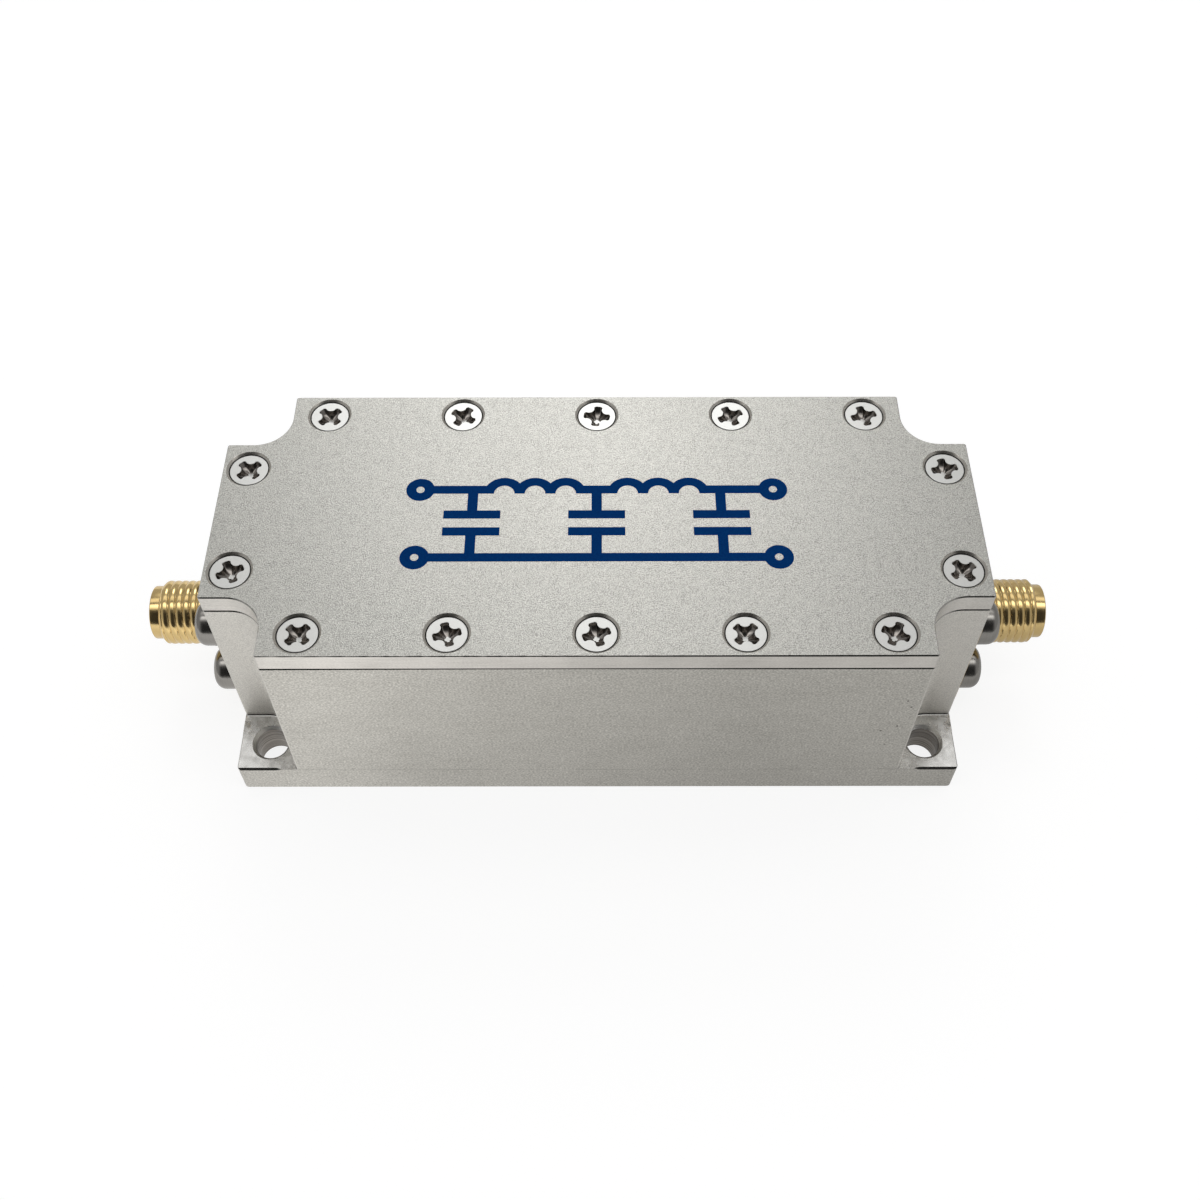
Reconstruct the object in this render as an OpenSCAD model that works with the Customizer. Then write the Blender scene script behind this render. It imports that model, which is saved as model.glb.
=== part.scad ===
// Low-pass filter: a milled aluminium housing with a notched lid and a threaded coaxial jack at each end.
// The origin is on the base plane, under the middle of the housing. X runs along the jacks and Z is up.
// Inside, four air-wound coils and five chip capacitors form a ladder on a circuit board.

/* [Housing] */
// Length of the housing, along the jacks
body_l = 70; // [66:1:100]
// Width of the housing, over the ears
body_w = 30; // [28:1:44]
// Height of the housing without its lid
body_h = 22; // [20:1:32]
// Thickness of the side and end walls
wall_t = 4.8; // [4.4:0.1:5.6]
// Thickness of the wall left around each corner notch
notch_wall_t = 2.8; // [2:0.1:3.4]
// Radius of the outer upright edges
edge_r = 0.2; // [0.1:0.1:1]
// Chamfer on the long outer edges of the ears and the base
edge_chamfer = 0.2; // [0.1:0.1:0.6]
// Chamfer on the short outer edges of the ears and the base
end_chamfer = 0.1; // [0.1:0.1:0.6]
// Radius that the cutter leaves in the corners of the cavity
cavity_r = 1.5; // [1:0.1:2.5]

/* [Corner notches and ears] */
// Size of each corner notch along the housing
notch_l = 5.8; // [5.4:0.1:7]
// Size of each corner notch across the housing
notch_w = 6.1; // [5.6:0.1:7]
// Radius of the inner corner of each notch
notch_r = 3.4; // [1:0.1:4.5]
// Height of the ears
ear_h = 3.7; // [2:0.1:6]
// Diameter of the mounting holes in the ears
ear_hole_d = 3.2; // [2.2:0.1:3.6]
// Distance from the outer edges to the middle of a mounting hole
ear_hole_inset = 3; // [2.8:0.1:3.2]
// Chamfer at the mouth of a mounting hole
ear_hole_chamfer = 0.3; // [0.1:0.1:0.5]

/* [Lid] */
// Thickness of the lid
lid_t = 2; // [1.6:0.1:3]
// Number of screws along each long side
lid_screws_per_side = 5; // [2:1:6]
// Thread diameter of the lid screws
lid_screw_d = 2; // [1.6:0.1:2.2]
// Length of a lid screw, head included
lid_screw_l = 6; // [5:0.5:8]
// Head diameter of the lid screws
lid_screw_head_d = 3.5; // [3:0.1:3.7]
// How far the screw heads lie below the lid's face
lid_screw_sink = 0.15; // [0.05:0.05:0.4]
// Clearance of the lid's holes around the screw threads
lid_screw_play = 0.1; // [0.05:0.05:0.2]
// Distance from the outer edges to the middle of the lid screws
lid_screw_edge = 2.4; // [2.2:0.1:2.6]
// Distance from a notch to the last screw of a long row
row_inset = 3.45; // [2.4:0.05:6]
// Distance from a notch to the screw at the short side
end_inset = 3; // [2.2:0.1:3.4]

/* [Coaxial jacks] */
// Height of the jacks' axis above the base
axis_h = 8.85; // [8:0.05:11]
// Distance from the back of the flange to the mouth of the jack
jack_reach = 9.5; // [9:0.1:12]
// Width of the square flange
flange_w = 12.7; // [12.4:0.1:13.5]
// Thickness of the flange
flange_t = 1.65; // [1.2:0.05:2]
// Depth of the milled seat that takes the flange
flange_seat = 0.4; // [0.2:0.1:0.8]
// Distance between the flange screws
flange_screw_pitch = 8; // [7.8:0.1:8.2]
// Outer diameter of the coupling thread
thread_d = 6.35; // [6:0.05:6.5]
// Length of the coupling thread
thread_l = 4.9; // [4:0.1:6]
// Diameter of the plain nose in front of the thread
nose_d = 5.3; // [5.1:0.1:5.6]
// Length of the plain nose
nose_l = 1; // [0.6:0.1:1.4]
// Diameter of the neck between flange and thread
neck_d = 5.5; // [5.2:0.1:5.9]
// Diameter of the mouth
mouth_d = 4.6; // [4.4:0.05:4.8]
// Depth of the mouth, down to the insulator's face
mouth_depth = 1.9; // [1.6:0.1:2.4]
// Diameter of the insulator
insulator_d = 4.1; // [3.6:0.1:4.2]
// Diameter of the centre contact
contact_d = 1.27; // [1.1:0.01:1.5]
// Diameter of the socket in the centre contact
socket_d = 0.94; // [0.8:0.02:1]
// Depth of the socket in the centre contact
socket_depth = 2.6; // [2:0.1:4]
// Width of the slots that let the socket spring
socket_slot = 0.25; // [0.15:0.05:0.35]
// Length of the solder tail inside the cavity
tail_l = 3.2; // [2.8:0.1:4]

/* [Flange screws] */
// Thread diameter of the flange screws
flange_screw_d = 2.5; // [2:0.1:2.6]
// Length of a flange screw under its head
flange_screw_l = 6; // [4:0.5:6]
// Head diameter of the flange screws
flange_screw_head_d = 4.4; // [4:0.1:4.6]
// Head height of the flange screws
flange_screw_head_h = 2.1; // [1.5:0.1:2.4]
// Rounding of the head's edge
flange_screw_round = 1; // [0.4:0.1:1.1]

/* [Circuit board] */
// Thickness of the board
board_t = 1.6; // [0.8:0.1:2]
// Thickness of the copper with its plating
copper_t = 0.1; // [0.05:0.05:0.2]
// Gap between the board and the cavity walls
board_gap = 0.2; // [0.1:0.05:0.4]
// Thread diameter of the board screws
board_screw_d = 2; // [1.6:0.1:2.4]
// Length of a board screw under its head
board_screw_l = 4; // [3:0.5:5]
// Head diameter of the board screws
board_screw_head_d = 3.8; // [3.2:0.1:4.2]
// Head height of the board screws
board_screw_head_h = 1.4; // [1:0.1:1.8]
// Rounding of the board screws' heads
board_screw_round = 0.5; // [0.3:0.1:0.8]
// Distance from the long walls of the cavity to the board screws
board_screw_inset = 2.3; // [2.2:0.1:2.6]

/* [Filter ladder] */
// Distance from the end wall to the middle of the first line pad
pad_inset = 5.4; // [5:0.1:6]
// Wire diameter of the coils
wire_d = 1; // [0.6:0.1:1.1]
// Mean diameter of the coils
coil_d = 6; // [4:0.5:7]
// Length of the coils, from leg to leg
coil_l = 6.8; // [6:0.1:7]
// Full turns of the two outer coils
outer_turns = 4; // [2:1:5]
// Full turns of the two inner coils
inner_turns = 5; // [2:1:5]
// Distance from the copper to the underside of the coils
coil_lift = 1; // [0.5:0.1:2]
// Copper left around each coil leg
pad_margin = 0.3; // [0.1:0.1:0.5]
// Length of the chip capacitors
chip_l = 3.2; // [2:0.1:3.6]
// Width of the chip capacitors
chip_w = 1.6; // [1.2:0.1:1.8]
// Height of the chip capacitors
chip_h = 1.4; // [0.8:0.1:2.5]
// Length of the metal ends of the chip capacitors
chip_end = 0.5; // [0.3:0.1:0.8]
// Thickness of the shield walls
shield_t = 0.8; // [0.5:0.1:1]
// Depth of the slots that hold the shield walls
shield_slot = 0.8; // [0.5:0.1:0.9]
// Height of the opening under each shield wall
shield_window_h = 3; // [1.5:0.5:6]

/* [Hidden] */
$fn = 48;
// Overlap that keeps cuts from ending flush with a face
over = 1;
// Fit between turned pieces that are pressed or screwed together
fit = 0.03;
// Running clearance of pieces that drop into a slot or a seat
play = 0.1;

// Cavity
cavity_l = body_l - 2 * wall_t;
cavity_w = body_w - 2 * wall_t;
cavity_neck_l = body_l - 2 * (notch_l + notch_wall_t);
cavity_neck_w = body_w - 2 * (notch_w + notch_wall_t);
copper_top = axis_h - contact_d / 2;
board_top = copper_top - copper_t;
floor_h = board_top - board_t;

// Lid screws
row_x = body_l / 2 - notch_l - row_inset;
row_y = body_w / 2 - lid_screw_edge;
row_pitch = 2 * row_x / (lid_screws_per_side - 1);
end_x = body_l / 2 - lid_screw_edge;
end_y = body_w / 2 - notch_w - end_inset;
lid_screw_places = concat(
    [for (s = [-1, 1], i = [0 : lid_screws_per_side - 1]) [-row_x + i * row_pitch, s * row_y]],
    [for (sx = [-1, 1], sy = [-1, 1]) [sx * end_x, sy * end_y]]);
// Upright rim of a countersunk head, and the fit of its cone in the lid
lid_screw_rim = 0.12;
head_fit = 0.02;
// Depth of a tapped hole past the end of its screw
tap_extra = 0.6;

// Cross recess, as shares of the head diameter, and its depth
recess_span = 0.62;
recess_arm = 0.17;
recess_depth = 0.9;
// Each lid screw stopped at a turn of its own
recess_turn = 37;

// Jacks
seat_x = body_l / 2 - flange_seat;
flange_face_x = seat_x + flange_t;
mouth_x = seat_x + jack_reach;
thread_end_x = mouth_x - nose_l;
insulator_face_x = mouth_x - mouth_depth;
inner_wall_x = cavity_l / 2;
thread_chamfer = 0.3;
nose_chamfer = 0.15;
flange_hole_play = 0.1;
// The contact's tip lies a little behind the insulator's face
contact_recess = 0.15;
jack_screw_offset = flange_screw_pitch / 2;
jack_screw_places = [for (y = [-1, 1], z = [-1, 1]) [y * jack_screw_offset, z * jack_screw_offset]];

// Ladder
coil_count = 4;
first_pad_x = -(inner_wall_x - pad_inset);
ladder_pitch = -2 * first_pad_x / coil_count;
coil_axis_h = copper_top + coil_lift + (coil_d + wire_d) / 2;
pad_l = ladder_pitch - coil_l + wire_d + 2 * pad_margin;
// Gap from the coil legs to the chips, and from the shield walls to the chips
leg_gap = 0.6;
chip_gap = 0.5;
chip_y = (coil_d + wire_d) / 2 + leg_gap;
pad_half_w = chip_y + chip_end;
ground_y = chip_y + chip_l - chip_end;
// Bare board left beside a ground pad, and copper left beside a chip
ground_edge = 0.4;
ground_margin = 0.3;
// Gap between a line pad and the sides of the window over it
window_gap = 0.4;
// The metal ends of a chip stand a little proud of its ceramic
chip_step = 0.03;
chip_shift = shield_t / 2 + chip_gap + chip_w / 2;
board_screw_x = -first_pad_x - ladder_pitch / 2;
board_screw_y = cavity_w / 2 - board_screw_inset;
board_screw_places = [for (x = [-1, 1], y = [-1, 1]) [x * board_screw_x, y * board_screw_y]];
wire_sides = 8;
rings_per_turn = 16;

// Middle of a line pad along the ladder, counted from 0
function pad_x(i) = first_pad_x + i * ladder_pitch;

// Chips lean towards the middle of the housing
function chip_x(i) = pad_x(i) + (i < coil_count / 2 + 0.5 ? 1 : -1) * chip_shift;

// Rectangle with rounded corners, centred
module rounded_rect(l, w, r) {
    square([l - 2 * r, w], center = true);
    square([l, w - 2 * r], center = true);
    for (x = [-1, 1], y = [-1, 1]) translate([x * (l / 2 - r), y * (w / 2 - r)]) circle(r);
}

// Corner shaving that rounds a square corner at the origin, which points to +X and +Y
module corner_shaving(r) {
    difference() {
        translate([-r, -r]) square(r + over);
        translate([-r, -r]) circle(r);
    }
}

// Repeats its child in the four quarters
module in_each_quarter() {
    for (x = [0, 1], y = [0, 1]) mirror([x, 0, 0]) mirror([0, y, 0]) children();
}

// Plan of the lid and of the upper housing: a rectangle with a notch at each corner
module notched_plan() {
    difference() {
        square([body_l, body_w], center = true);
        in_each_quarter() notch_cut();
    }
}

// Notch with a round inner corner, and the rounding of the two edges beside it
module notch_cut() {
    x = body_l / 2 - notch_l;
    y = body_w / 2 - notch_w;
    translate([x + notch_r, y]) square([notch_l, notch_w + over]);
    translate([x, y + notch_r]) square([notch_l + over, notch_w]);
    translate([x + notch_r, y + notch_r]) circle(notch_r);
    translate([x, body_w / 2]) corner_shaving(edge_r);
    translate([body_l / 2, y]) corner_shaving(edge_r);
}

// Plan of the cavity, pulled in on all sides by a gap
module cavity_plan(gap) {
    rounded_rect(cavity_l - 2 * gap, cavity_neck_w - 2 * gap, cavity_r);
    rounded_rect(cavity_neck_l - 2 * gap, cavity_w - 2 * gap, cavity_r);
}

// Places its child on the axis of the right-hand jack, with its Z axis pointing outwards
module on_jack_axis(x) {
    translate([x, 0, axis_h]) rotate([0, 90, 0]) children();
}

// Places its child at each flange screw of the right-hand jack, with its Z axis pointing outwards
module at_flange_screws(x) {
    for (p = jack_screw_places) translate([x, p[0], axis_h + p[1]]) rotate([0, 90, 0]) children();
}

// Hole or rod on the axis of the right-hand jack, from one place to another
module axis_rod(from_x, to_x, d) {
    on_jack_axis(from_x) cylinder(h = to_x - from_x, d = d);
}

// Cross-shaped recess of a screw head, sunk from Z = 0
module cross_recess(head_d) {
    span = recess_span * head_d;
    arm = recess_arm * head_d;
    translate([-span / 2, -arm / 2, -recess_depth]) cube([span, arm, recess_depth + over]);
    translate([-arm / 2, -span / 2, -recess_depth]) cube([arm, span, recess_depth + over]);
}

// Countersunk screw with its head's face at Z = 0
module countersunk_screw() {
    cone_h = (lid_screw_head_d - lid_screw_d) / 2;
    difference() {
        union() {
            translate([0, 0, -lid_screw_rim]) cylinder(h = lid_screw_rim, d = lid_screw_head_d);
            translate([0, 0, -lid_screw_rim - cone_h])
                cylinder(h = cone_h, d1 = lid_screw_d, d2 = lid_screw_head_d);
            translate([0, 0, -lid_screw_l]) cylinder(h = lid_screw_l - lid_screw_rim, d = lid_screw_d);
        }
        cross_recess(lid_screw_head_d);
    }
}

// Pan-head screw that seats at Z = 0 with its head upwards
module pan_screw(d, l, head_d, head_h, round_r) {
    difference() {
        union() {
            rotate_extrude() {
                square([head_d / 2, head_h - round_r]);
                square([head_d / 2 - round_r, head_h]);
                translate([head_d / 2 - round_r, head_h - round_r]) intersection() {
                    circle(round_r);
                    square(round_r);
                }
            }
            translate([0, 0, -l]) cylinder(h = l + head_h / 2, d = d);
        }
        translate([0, 0, head_h]) cross_recess(head_d);
    }
}

// Square bar along X, turned on its edge, that cuts a chamfer of size c
module chamfer_bar(l, c) {
    side = c * sqrt(2);
    rotate([45, 0, 0]) cube([l + 2 * over, side, side], center = true);
}

// Base slab that shows as the four ears, with its outer edges chamfered
module base_slab() {
    difference() {
        linear_extrude(ear_h) rounded_rect(body_l, body_w, edge_r);
        for (z = [0, ear_h], s = [-1, 1]) {
            translate([0, s * body_w / 2, z]) chamfer_bar(body_l, edge_chamfer);
            translate([s * body_l / 2, 0, z]) rotate([0, 0, 90]) chamfer_bar(body_w, end_chamfer);
        }
    }
}

// Milled block with its cavity, ears, jack seats and tapped holes
module housing() {
    lid_tap_h = body_h + lid_t - lid_screw_sink - lid_screw_l - tap_extra;
    board_tap_h = board_top - board_screw_l - tap_extra;
    color("silver") difference() {
        union() {
            base_slab();
            translate([0, 0, ear_h / 2]) linear_extrude(body_h - ear_h / 2) notched_plan();
        }
        translate([0, 0, floor_h]) linear_extrude(body_h) cavity_plan(0);
        in_each_quarter() ear_hole();
        for (p = lid_screw_places)
            translate([p[0], p[1], lid_tap_h]) cylinder(h = body_h, d = lid_screw_d + 2 * fit);
        for (p = board_screw_places)
            translate([p[0], p[1], board_tap_h]) cylinder(h = body_h, d = board_screw_d + 2 * fit);
        for (i = [1 : coil_count - 1]) shield_slots(pad_x(i));
        for (s = [0, 1]) mirror([s, 0, 0]) jack_seat();
    }
}

// Mounting hole of an ear, with a chamfered mouth
module ear_hole() {
    translate([body_l / 2 - ear_hole_inset, body_w / 2 - ear_hole_inset, 0]) {
        translate([0, 0, -over]) cylinder(h = ear_h + 2 * over, d = ear_hole_d);
        translate([0, 0, ear_h - ear_hole_chamfer]) cylinder(h = ear_hole_chamfer + over,
            d1 = ear_hole_d, d2 = ear_hole_d + 2 * (ear_hole_chamfer + over));
    }
}

// Slots in the long walls for one shield wall
module shield_slots(x) {
    slot_w = shield_t + play;
    slot_l = cavity_w + 2 * shield_slot;
    translate([x - slot_w / 2, -slot_l / 2, board_top]) cube([slot_w, slot_l, body_h]);
}

// Square seat, insulator bore and tapped holes at the right-hand end
module jack_seat() {
    seat_w = flange_w + 2 * play;
    tap_l = flange_screw_l - flange_t + tap_extra;
    translate([seat_x, -seat_w / 2, axis_h - seat_w / 2]) cube([flange_seat + over, seat_w, seat_w]);
    axis_rod(inner_wall_x - over, seat_x + over, insulator_d + 2 * fit);
    at_flange_screws(seat_x - tap_l) cylinder(h = tap_l + over, d = flange_screw_d + 2 * fit);
}

// Flat lid with countersunk holes
module lid() {
    sink_d = lid_screw_head_d + 2 * (lid_screw_sink + lid_screw_rim + head_fit);
    hole_d = lid_screw_d + 2 * lid_screw_play;
    cone_h = (sink_d - hole_d) / 2;
    color("gainsboro") translate([0, 0, body_h]) difference() {
        linear_extrude(lid_t) notched_plan();
        for (p = lid_screw_places) translate([p[0], p[1], 0]) {
            translate([0, 0, -over]) cylinder(h = lid_t + 2 * over, d = hole_d);
            translate([0, 0, lid_t - cone_h])
                cylinder(h = cone_h + over, d1 = hole_d, d2 = sink_d + 2 * over);
        }
    }
}

// Countersunk screws of the lid
module lid_screws() {
    color("lightgray") for (i = [0 : len(lid_screw_places) - 1])
        translate([lid_screw_places[i][0], lid_screw_places[i][1], body_h + lid_t - lid_screw_sink])
            rotate([0, 0, i * recess_turn]) countersunk_screw();
}

// Flange, neck, threaded barrel and nose of the right-hand jack in one turned piece
module jack_shell() {
    color("gold") difference() {
        union() {
            translate([seat_x, -flange_w / 2, axis_h - flange_w / 2]) cube([flange_t, flange_w, flange_w]);
            axis_rod(seat_x + flange_t / 2, thread_end_x - thread_l / 2, neck_d);
            on_jack_axis(thread_end_x - thread_l) thread_blank();
            axis_rod(thread_end_x - thread_l / 2, mouth_x, nose_d);
        }
        axis_rod(seat_x - over, mouth_x + over, insulator_d + 2 * fit);
        axis_rod(insulator_face_x, mouth_x + over, mouth_d);
        on_jack_axis(mouth_x - nose_chamfer)
            cylinder(h = nose_chamfer + over, d1 = mouth_d, d2 = mouth_d + 2 * (nose_chamfer + over));
        at_flange_screws(seat_x - over)
            cylinder(h = flange_t + 2 * over, d = flange_screw_d + 2 * flange_hole_play);
    }
}

// Full diameter of the coupling thread, with a chamfer at both ends
module thread_blank() {
    root_d = thread_d - 2 * thread_chamfer;
    translate([0, 0, thread_chamfer]) cylinder(h = thread_l - 2 * thread_chamfer, d = thread_d);
    cylinder(h = thread_chamfer, d1 = root_d, d2 = thread_d);
    translate([0, 0, thread_l - thread_chamfer]) cylinder(h = thread_chamfer, d1 = thread_d, d2 = root_d);
}

// Bead that carries the contact of the right-hand jack through the wall
module insulator() {
    color("white") difference() {
        axis_rod(inner_wall_x, insulator_face_x, insulator_d);
        axis_rod(inner_wall_x - over, insulator_face_x + over, contact_d + 2 * fit);
    }
}

// Centre contact of the right-hand jack: slotted socket outside, solder tail inside
module contact() {
    tip_x = insulator_face_x - contact_recess;
    color("goldenrod") difference() {
        axis_rod(inner_wall_x - tail_l, tip_x, contact_d);
        axis_rod(tip_x - socket_depth, tip_x + over, socket_d);
        on_jack_axis(tip_x - socket_depth) for (a = [0, 90]) rotate([0, 0, a])
            translate([-contact_d, -socket_slot / 2, 0])
                cube([2 * contact_d, socket_slot, socket_depth + over]);
    }
}

// Pan-head screws of the right-hand flange
module flange_screws() {
    color("darkgray") at_flange_screws(flange_face_x)
        pan_screw(flange_screw_d, flange_screw_l, flange_screw_head_d,
            flange_screw_head_h, flange_screw_round);
}

// Laminate board that lies on the floor of the cavity
module circuit_board() {
    color("seagreen") difference() {
        translate([0, 0, floor_h]) linear_extrude(board_t) cavity_plan(board_gap);
        for (p = board_screw_places) translate([p[0], p[1], floor_h - over])
            cylinder(h = board_t + 2 * over, d = board_screw_d + 2 * play);
    }
}

// Line pads and ground pads on the board
module copper_tracks() {
    ground_l = cavity_w / 2 - board_gap - ground_edge - ground_y;
    color("orange") for (i = [0 : coil_count]) {
        translate([pad_x(i) - pad_l / 2, -pad_half_w, board_top]) cube([pad_l, 2 * pad_half_w, copper_t]);
        translate([chip_x(i) - chip_w / 2 - ground_margin, ground_y, board_top])
            cube([chip_w + 2 * ground_margin, ground_l, copper_t]);
    }
}

// Pan-head screws that hold the board
module board_screws() {
    color("lightgray") for (p = board_screw_places) translate([p[0], p[1], board_top])
        pan_screw(board_screw_d, board_screw_l, board_screw_head_d,
            board_screw_head_h, board_screw_round);
}

// Tangent to a list of points at one of them
function tangent(path, i) =
    let (a = path[max(i - 1, 0)], b = path[min(i + 1, len(path) - 1)]) (b - a) / norm(b - a);

// Centre line of a coil around the X axis: up a leg at +Y, round the turns and down a leg at -Y
function coil_path(turns, leg) =
    let (r = coil_d / 2, n = ceil(turns * rings_per_turn), rise = coil_l / n)
    concat(
        [[-coil_l / 2, r, -leg]],
        [for (i = [0 : n]) let (a = 360 * turns * i / n) [-coil_l / 2 + i * rise, r * cos(a), r * sin(a)]],
        [[coil_l / 2, -r, -leg]]);

// Direction from the coil's axis to the wire, for each point of the centre line
function coil_outward(turns) =
    let (n = ceil(turns * rings_per_turn))
    concat([[0, 1, 0]], [for (i = [0 : n]) let (a = 360 * turns * i / n) [0, cos(a), sin(a)]], [[0, -1, 0]]);

// Round wire along a coil's centre line
module wire_coil(full_turns) {
    turns = full_turns + 0.5;
    path = coil_path(turns, coil_axis_h - copper_top);
    outward = coil_outward(turns);
    last = len(path) - 1;
    points = [for (i = [0 : last], k = [0 : wire_sides - 1])
        let (t = i == 0 ? [0, 0, 1] : i == last ? [0, 0, -1] : tangent(path, i),
            side = cross(t, outward[i]),
            u = side / norm(side),
            v = cross(u, t),
            a = 360 * k / wire_sides)
        path[i] + wire_d / 2 * (cos(a) * v + sin(a) * u)];
    faces = concat(
        [[for (k = [0 : wire_sides - 1]) k]],
        [for (i = [0 : last - 1], k = [0 : wire_sides - 1])
            let (m = (k + 1) % wire_sides, p = i * wire_sides, q = p + wire_sides)
            [p + k, q + k, q + m, p + m]],
        [[for (k = [wire_sides - 1 : -1 : 0]) last * wire_sides + k]]);
    polyhedron(points, faces, convexity = 10);
}

// Coil between two neighbouring line pads, counted from 0
module coil(i) {
    full_turns = i == 0 || i == coil_count - 1 ? outer_turns : inner_turns;
    color("peru") translate([pad_x(i) + ladder_pitch / 2, 0, coil_axis_h]) wire_coil(full_turns);
}

// Chip capacitor from a line pad to its ground pad, counted from 0
module capacitor(i) {
    translate([chip_x(i), chip_y, copper_top]) {
        color("tan") translate([-chip_w / 2 + chip_step, 0, chip_step])
            cube([chip_w - 2 * chip_step, chip_l, chip_h - 2 * chip_step]);
        color("silver") for (y = [0, chip_l - chip_end]) translate([-chip_w / 2, y, 0])
            cube([chip_w, chip_end, chip_h]);
    }
}

// Plate that stands in the slots of the long walls, open at the bottom over the line pad
module shield_wall(i) {
    plate_w = cavity_w + 2 * shield_slot - play;
    window_w = 2 * (pad_half_w + window_gap);
    plate_h = body_h - board_top - play;
    color("khaki") translate([pad_x(i), 0, board_top]) difference() {
        translate([-shield_t / 2, -plate_w / 2, 0]) cube([shield_t, plate_w, plate_h]);
        translate([-shield_t, -window_w / 2, -over]) cube([2 * shield_t, window_w, shield_window_h + over]);
    }
}

housing();
lid();
lid_screws();
mirror([1, 0, 0]) jack_shell();  // input_jack_shell
mirror([1, 0, 0]) insulator();  // input_insulator
mirror([1, 0, 0]) contact();  // input_contact
mirror([1, 0, 0]) flange_screws();  // input_flange_screws
jack_shell();  // output_jack_shell
insulator();  // output_insulator
contact();  // output_contact
flange_screws();  // output_flange_screws
circuit_board();
copper_tracks();
board_screws();
coil(0);  // coil_1
coil(1);  // coil_2
coil(2);  // coil_3
coil(3);  // coil_4
capacitor(0);  // capacitor_1
capacitor(1);  // capacitor_2
capacitor(2);  // capacitor_3
capacitor(3);  // capacitor_4
capacitor(4);  // capacitor_5
shield_wall(1);  // shield_wall_1
shield_wall(2);  // shield_wall_2
shield_wall(3);  // shield_wall_3
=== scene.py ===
"""Looks of the low-pass filter: a milled aluminium box with a notched lid and a gold-plated jack at each end.
"""
import logging
from dataclasses import dataclass, field
from enum import Enum
from itertools import chain, repeat
from math import cos, pi, radians, sin
from typing import Any, Iterable, Mapping, Sequence

import bmesh
import bpy
from bpy.types import ID, ColorRamp, Material, Node, NodeSocket, NodeTree, Object
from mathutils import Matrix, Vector
from mathutils.geometry import delaunay_2d_cdt


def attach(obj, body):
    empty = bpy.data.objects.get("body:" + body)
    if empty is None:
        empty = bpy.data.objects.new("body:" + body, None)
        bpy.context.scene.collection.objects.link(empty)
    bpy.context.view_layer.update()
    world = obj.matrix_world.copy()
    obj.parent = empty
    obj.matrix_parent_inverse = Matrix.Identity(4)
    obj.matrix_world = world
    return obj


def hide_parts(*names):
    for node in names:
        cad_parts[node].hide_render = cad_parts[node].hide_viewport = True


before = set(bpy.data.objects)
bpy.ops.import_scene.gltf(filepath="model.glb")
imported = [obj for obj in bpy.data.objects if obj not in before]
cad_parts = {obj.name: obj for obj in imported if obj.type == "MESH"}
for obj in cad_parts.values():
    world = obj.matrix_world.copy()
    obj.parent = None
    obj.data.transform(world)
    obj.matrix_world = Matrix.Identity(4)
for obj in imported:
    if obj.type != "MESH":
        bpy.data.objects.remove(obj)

Flat = tuple[float, float]
Point = tuple[float, float, float]
Ring = list[int]
Source = Node | NodeSocket | float
MM = 0.001
WELD_MM, SPECK_MM = 0.0004, 0.0002
SIGNS = (-1, 1)
QUARTERS = tuple((sx, sy) for sx in SIGNS for sy in SIGNS)
MATH, RANGE = "ShaderNodeMath", "ShaderNodeMapRange"
NOISE_SPAN = (0.28, 0.72)  # Blender's noise hardly ever leaves this range
WAVE_PERIOD = 0.3125  # length of one of Blender's waves at scale 1
DIRT = "#2e2b28"
LOG = logging.getLogger("filter")


class End(Enum):
    """The two ends of the filter, by the direction in which their jack points."""

    INPUT = -1
    OUTPUT = 1


class Plane(Enum):
    """Planes in which a flat face is filled, by the two axes that lie in it."""

    LEVEL = (0, 1)
    UPRIGHT = (1, 2)

    def point(self, spot: Flat, at: float) -> Point:
        """Point at a spot in the plane, which crosses the third axis at a place.

        Args:
            spot: Its two coordinates in the plane.
            at: Its coordinate on the third axis.

        Returns:
            The point.
        """
        place = [at] * 3
        place[self.value[0]], place[self.value[1]] = spot
        return tuple(place)


# ---------------------------------------------------------------- small tools


def linear(code: str) -> tuple[float, float, float, float]:
    """Turns an sRGB hex value into a linear colour.

    Args:
        code: Colour as "#rrggbb".

    Returns:
        Linear red, green and blue, and an alpha of 1.
    """
    parts = [int(code[i:i + 2], 16) / 255 for i in (1, 3, 5)]
    r, g, b = (c / 12.92 if c <= 0.04045 else ((c + 0.055) / 1.055) ** 2.4 for c in parts)
    return r, g, b, 1.0


def add(tree: NodeTree, kind: str, inputs: Mapping[Any, Any] | Sequence[Any] = (), **settings: Any) -> Node:
    """Adds one node with its settings, values and links.

    Args:
        tree: Node tree that takes the node.
        kind: Blender's name of the node type.
        inputs: Values, sockets, or nodes whose first output is meant, in order or by the input's name or number.
        settings: Attributes of the node itself.

    Returns:
        The new node.
    """
    node = tree.nodes.new(kind)
    for name, value in settings.items():
        setattr(node, name, value)
    for key, value in inputs.items() if isinstance(inputs, Mapping) else enumerate(inputs):
        if isinstance(value, Node):
            value = value.outputs[0]
        if isinstance(value, NodeSocket):
            tree.links.new(value, node.inputs[key])
        else:
            node.inputs[key].default_value = value
    return node


def arc(centre: Flat, radius: float, start: float, stop: float, steps: int) -> list[Flat]:
    """Points along an arc.

    Args:
        centre: Centre of the arc.
        radius: Its radius.
        start: First angle in degrees.
        stop: Last angle in degrees.
        steps: Number of steps between them.

    Returns:
        The points, both ends included.
    """
    angles = (radians(start + (stop - start) * i / steps) for i in range(steps + 1))
    return [(centre[0] + radius * cos(a), centre[1] + radius * sin(a)) for a in angles]


def circle(centre: Flat, radius: float, steps: int) -> list[Flat]:
    """Closed circle of points, without the doubled last one."""
    return arc(centre, radius, 0, 360, steps)[:-1]


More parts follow.
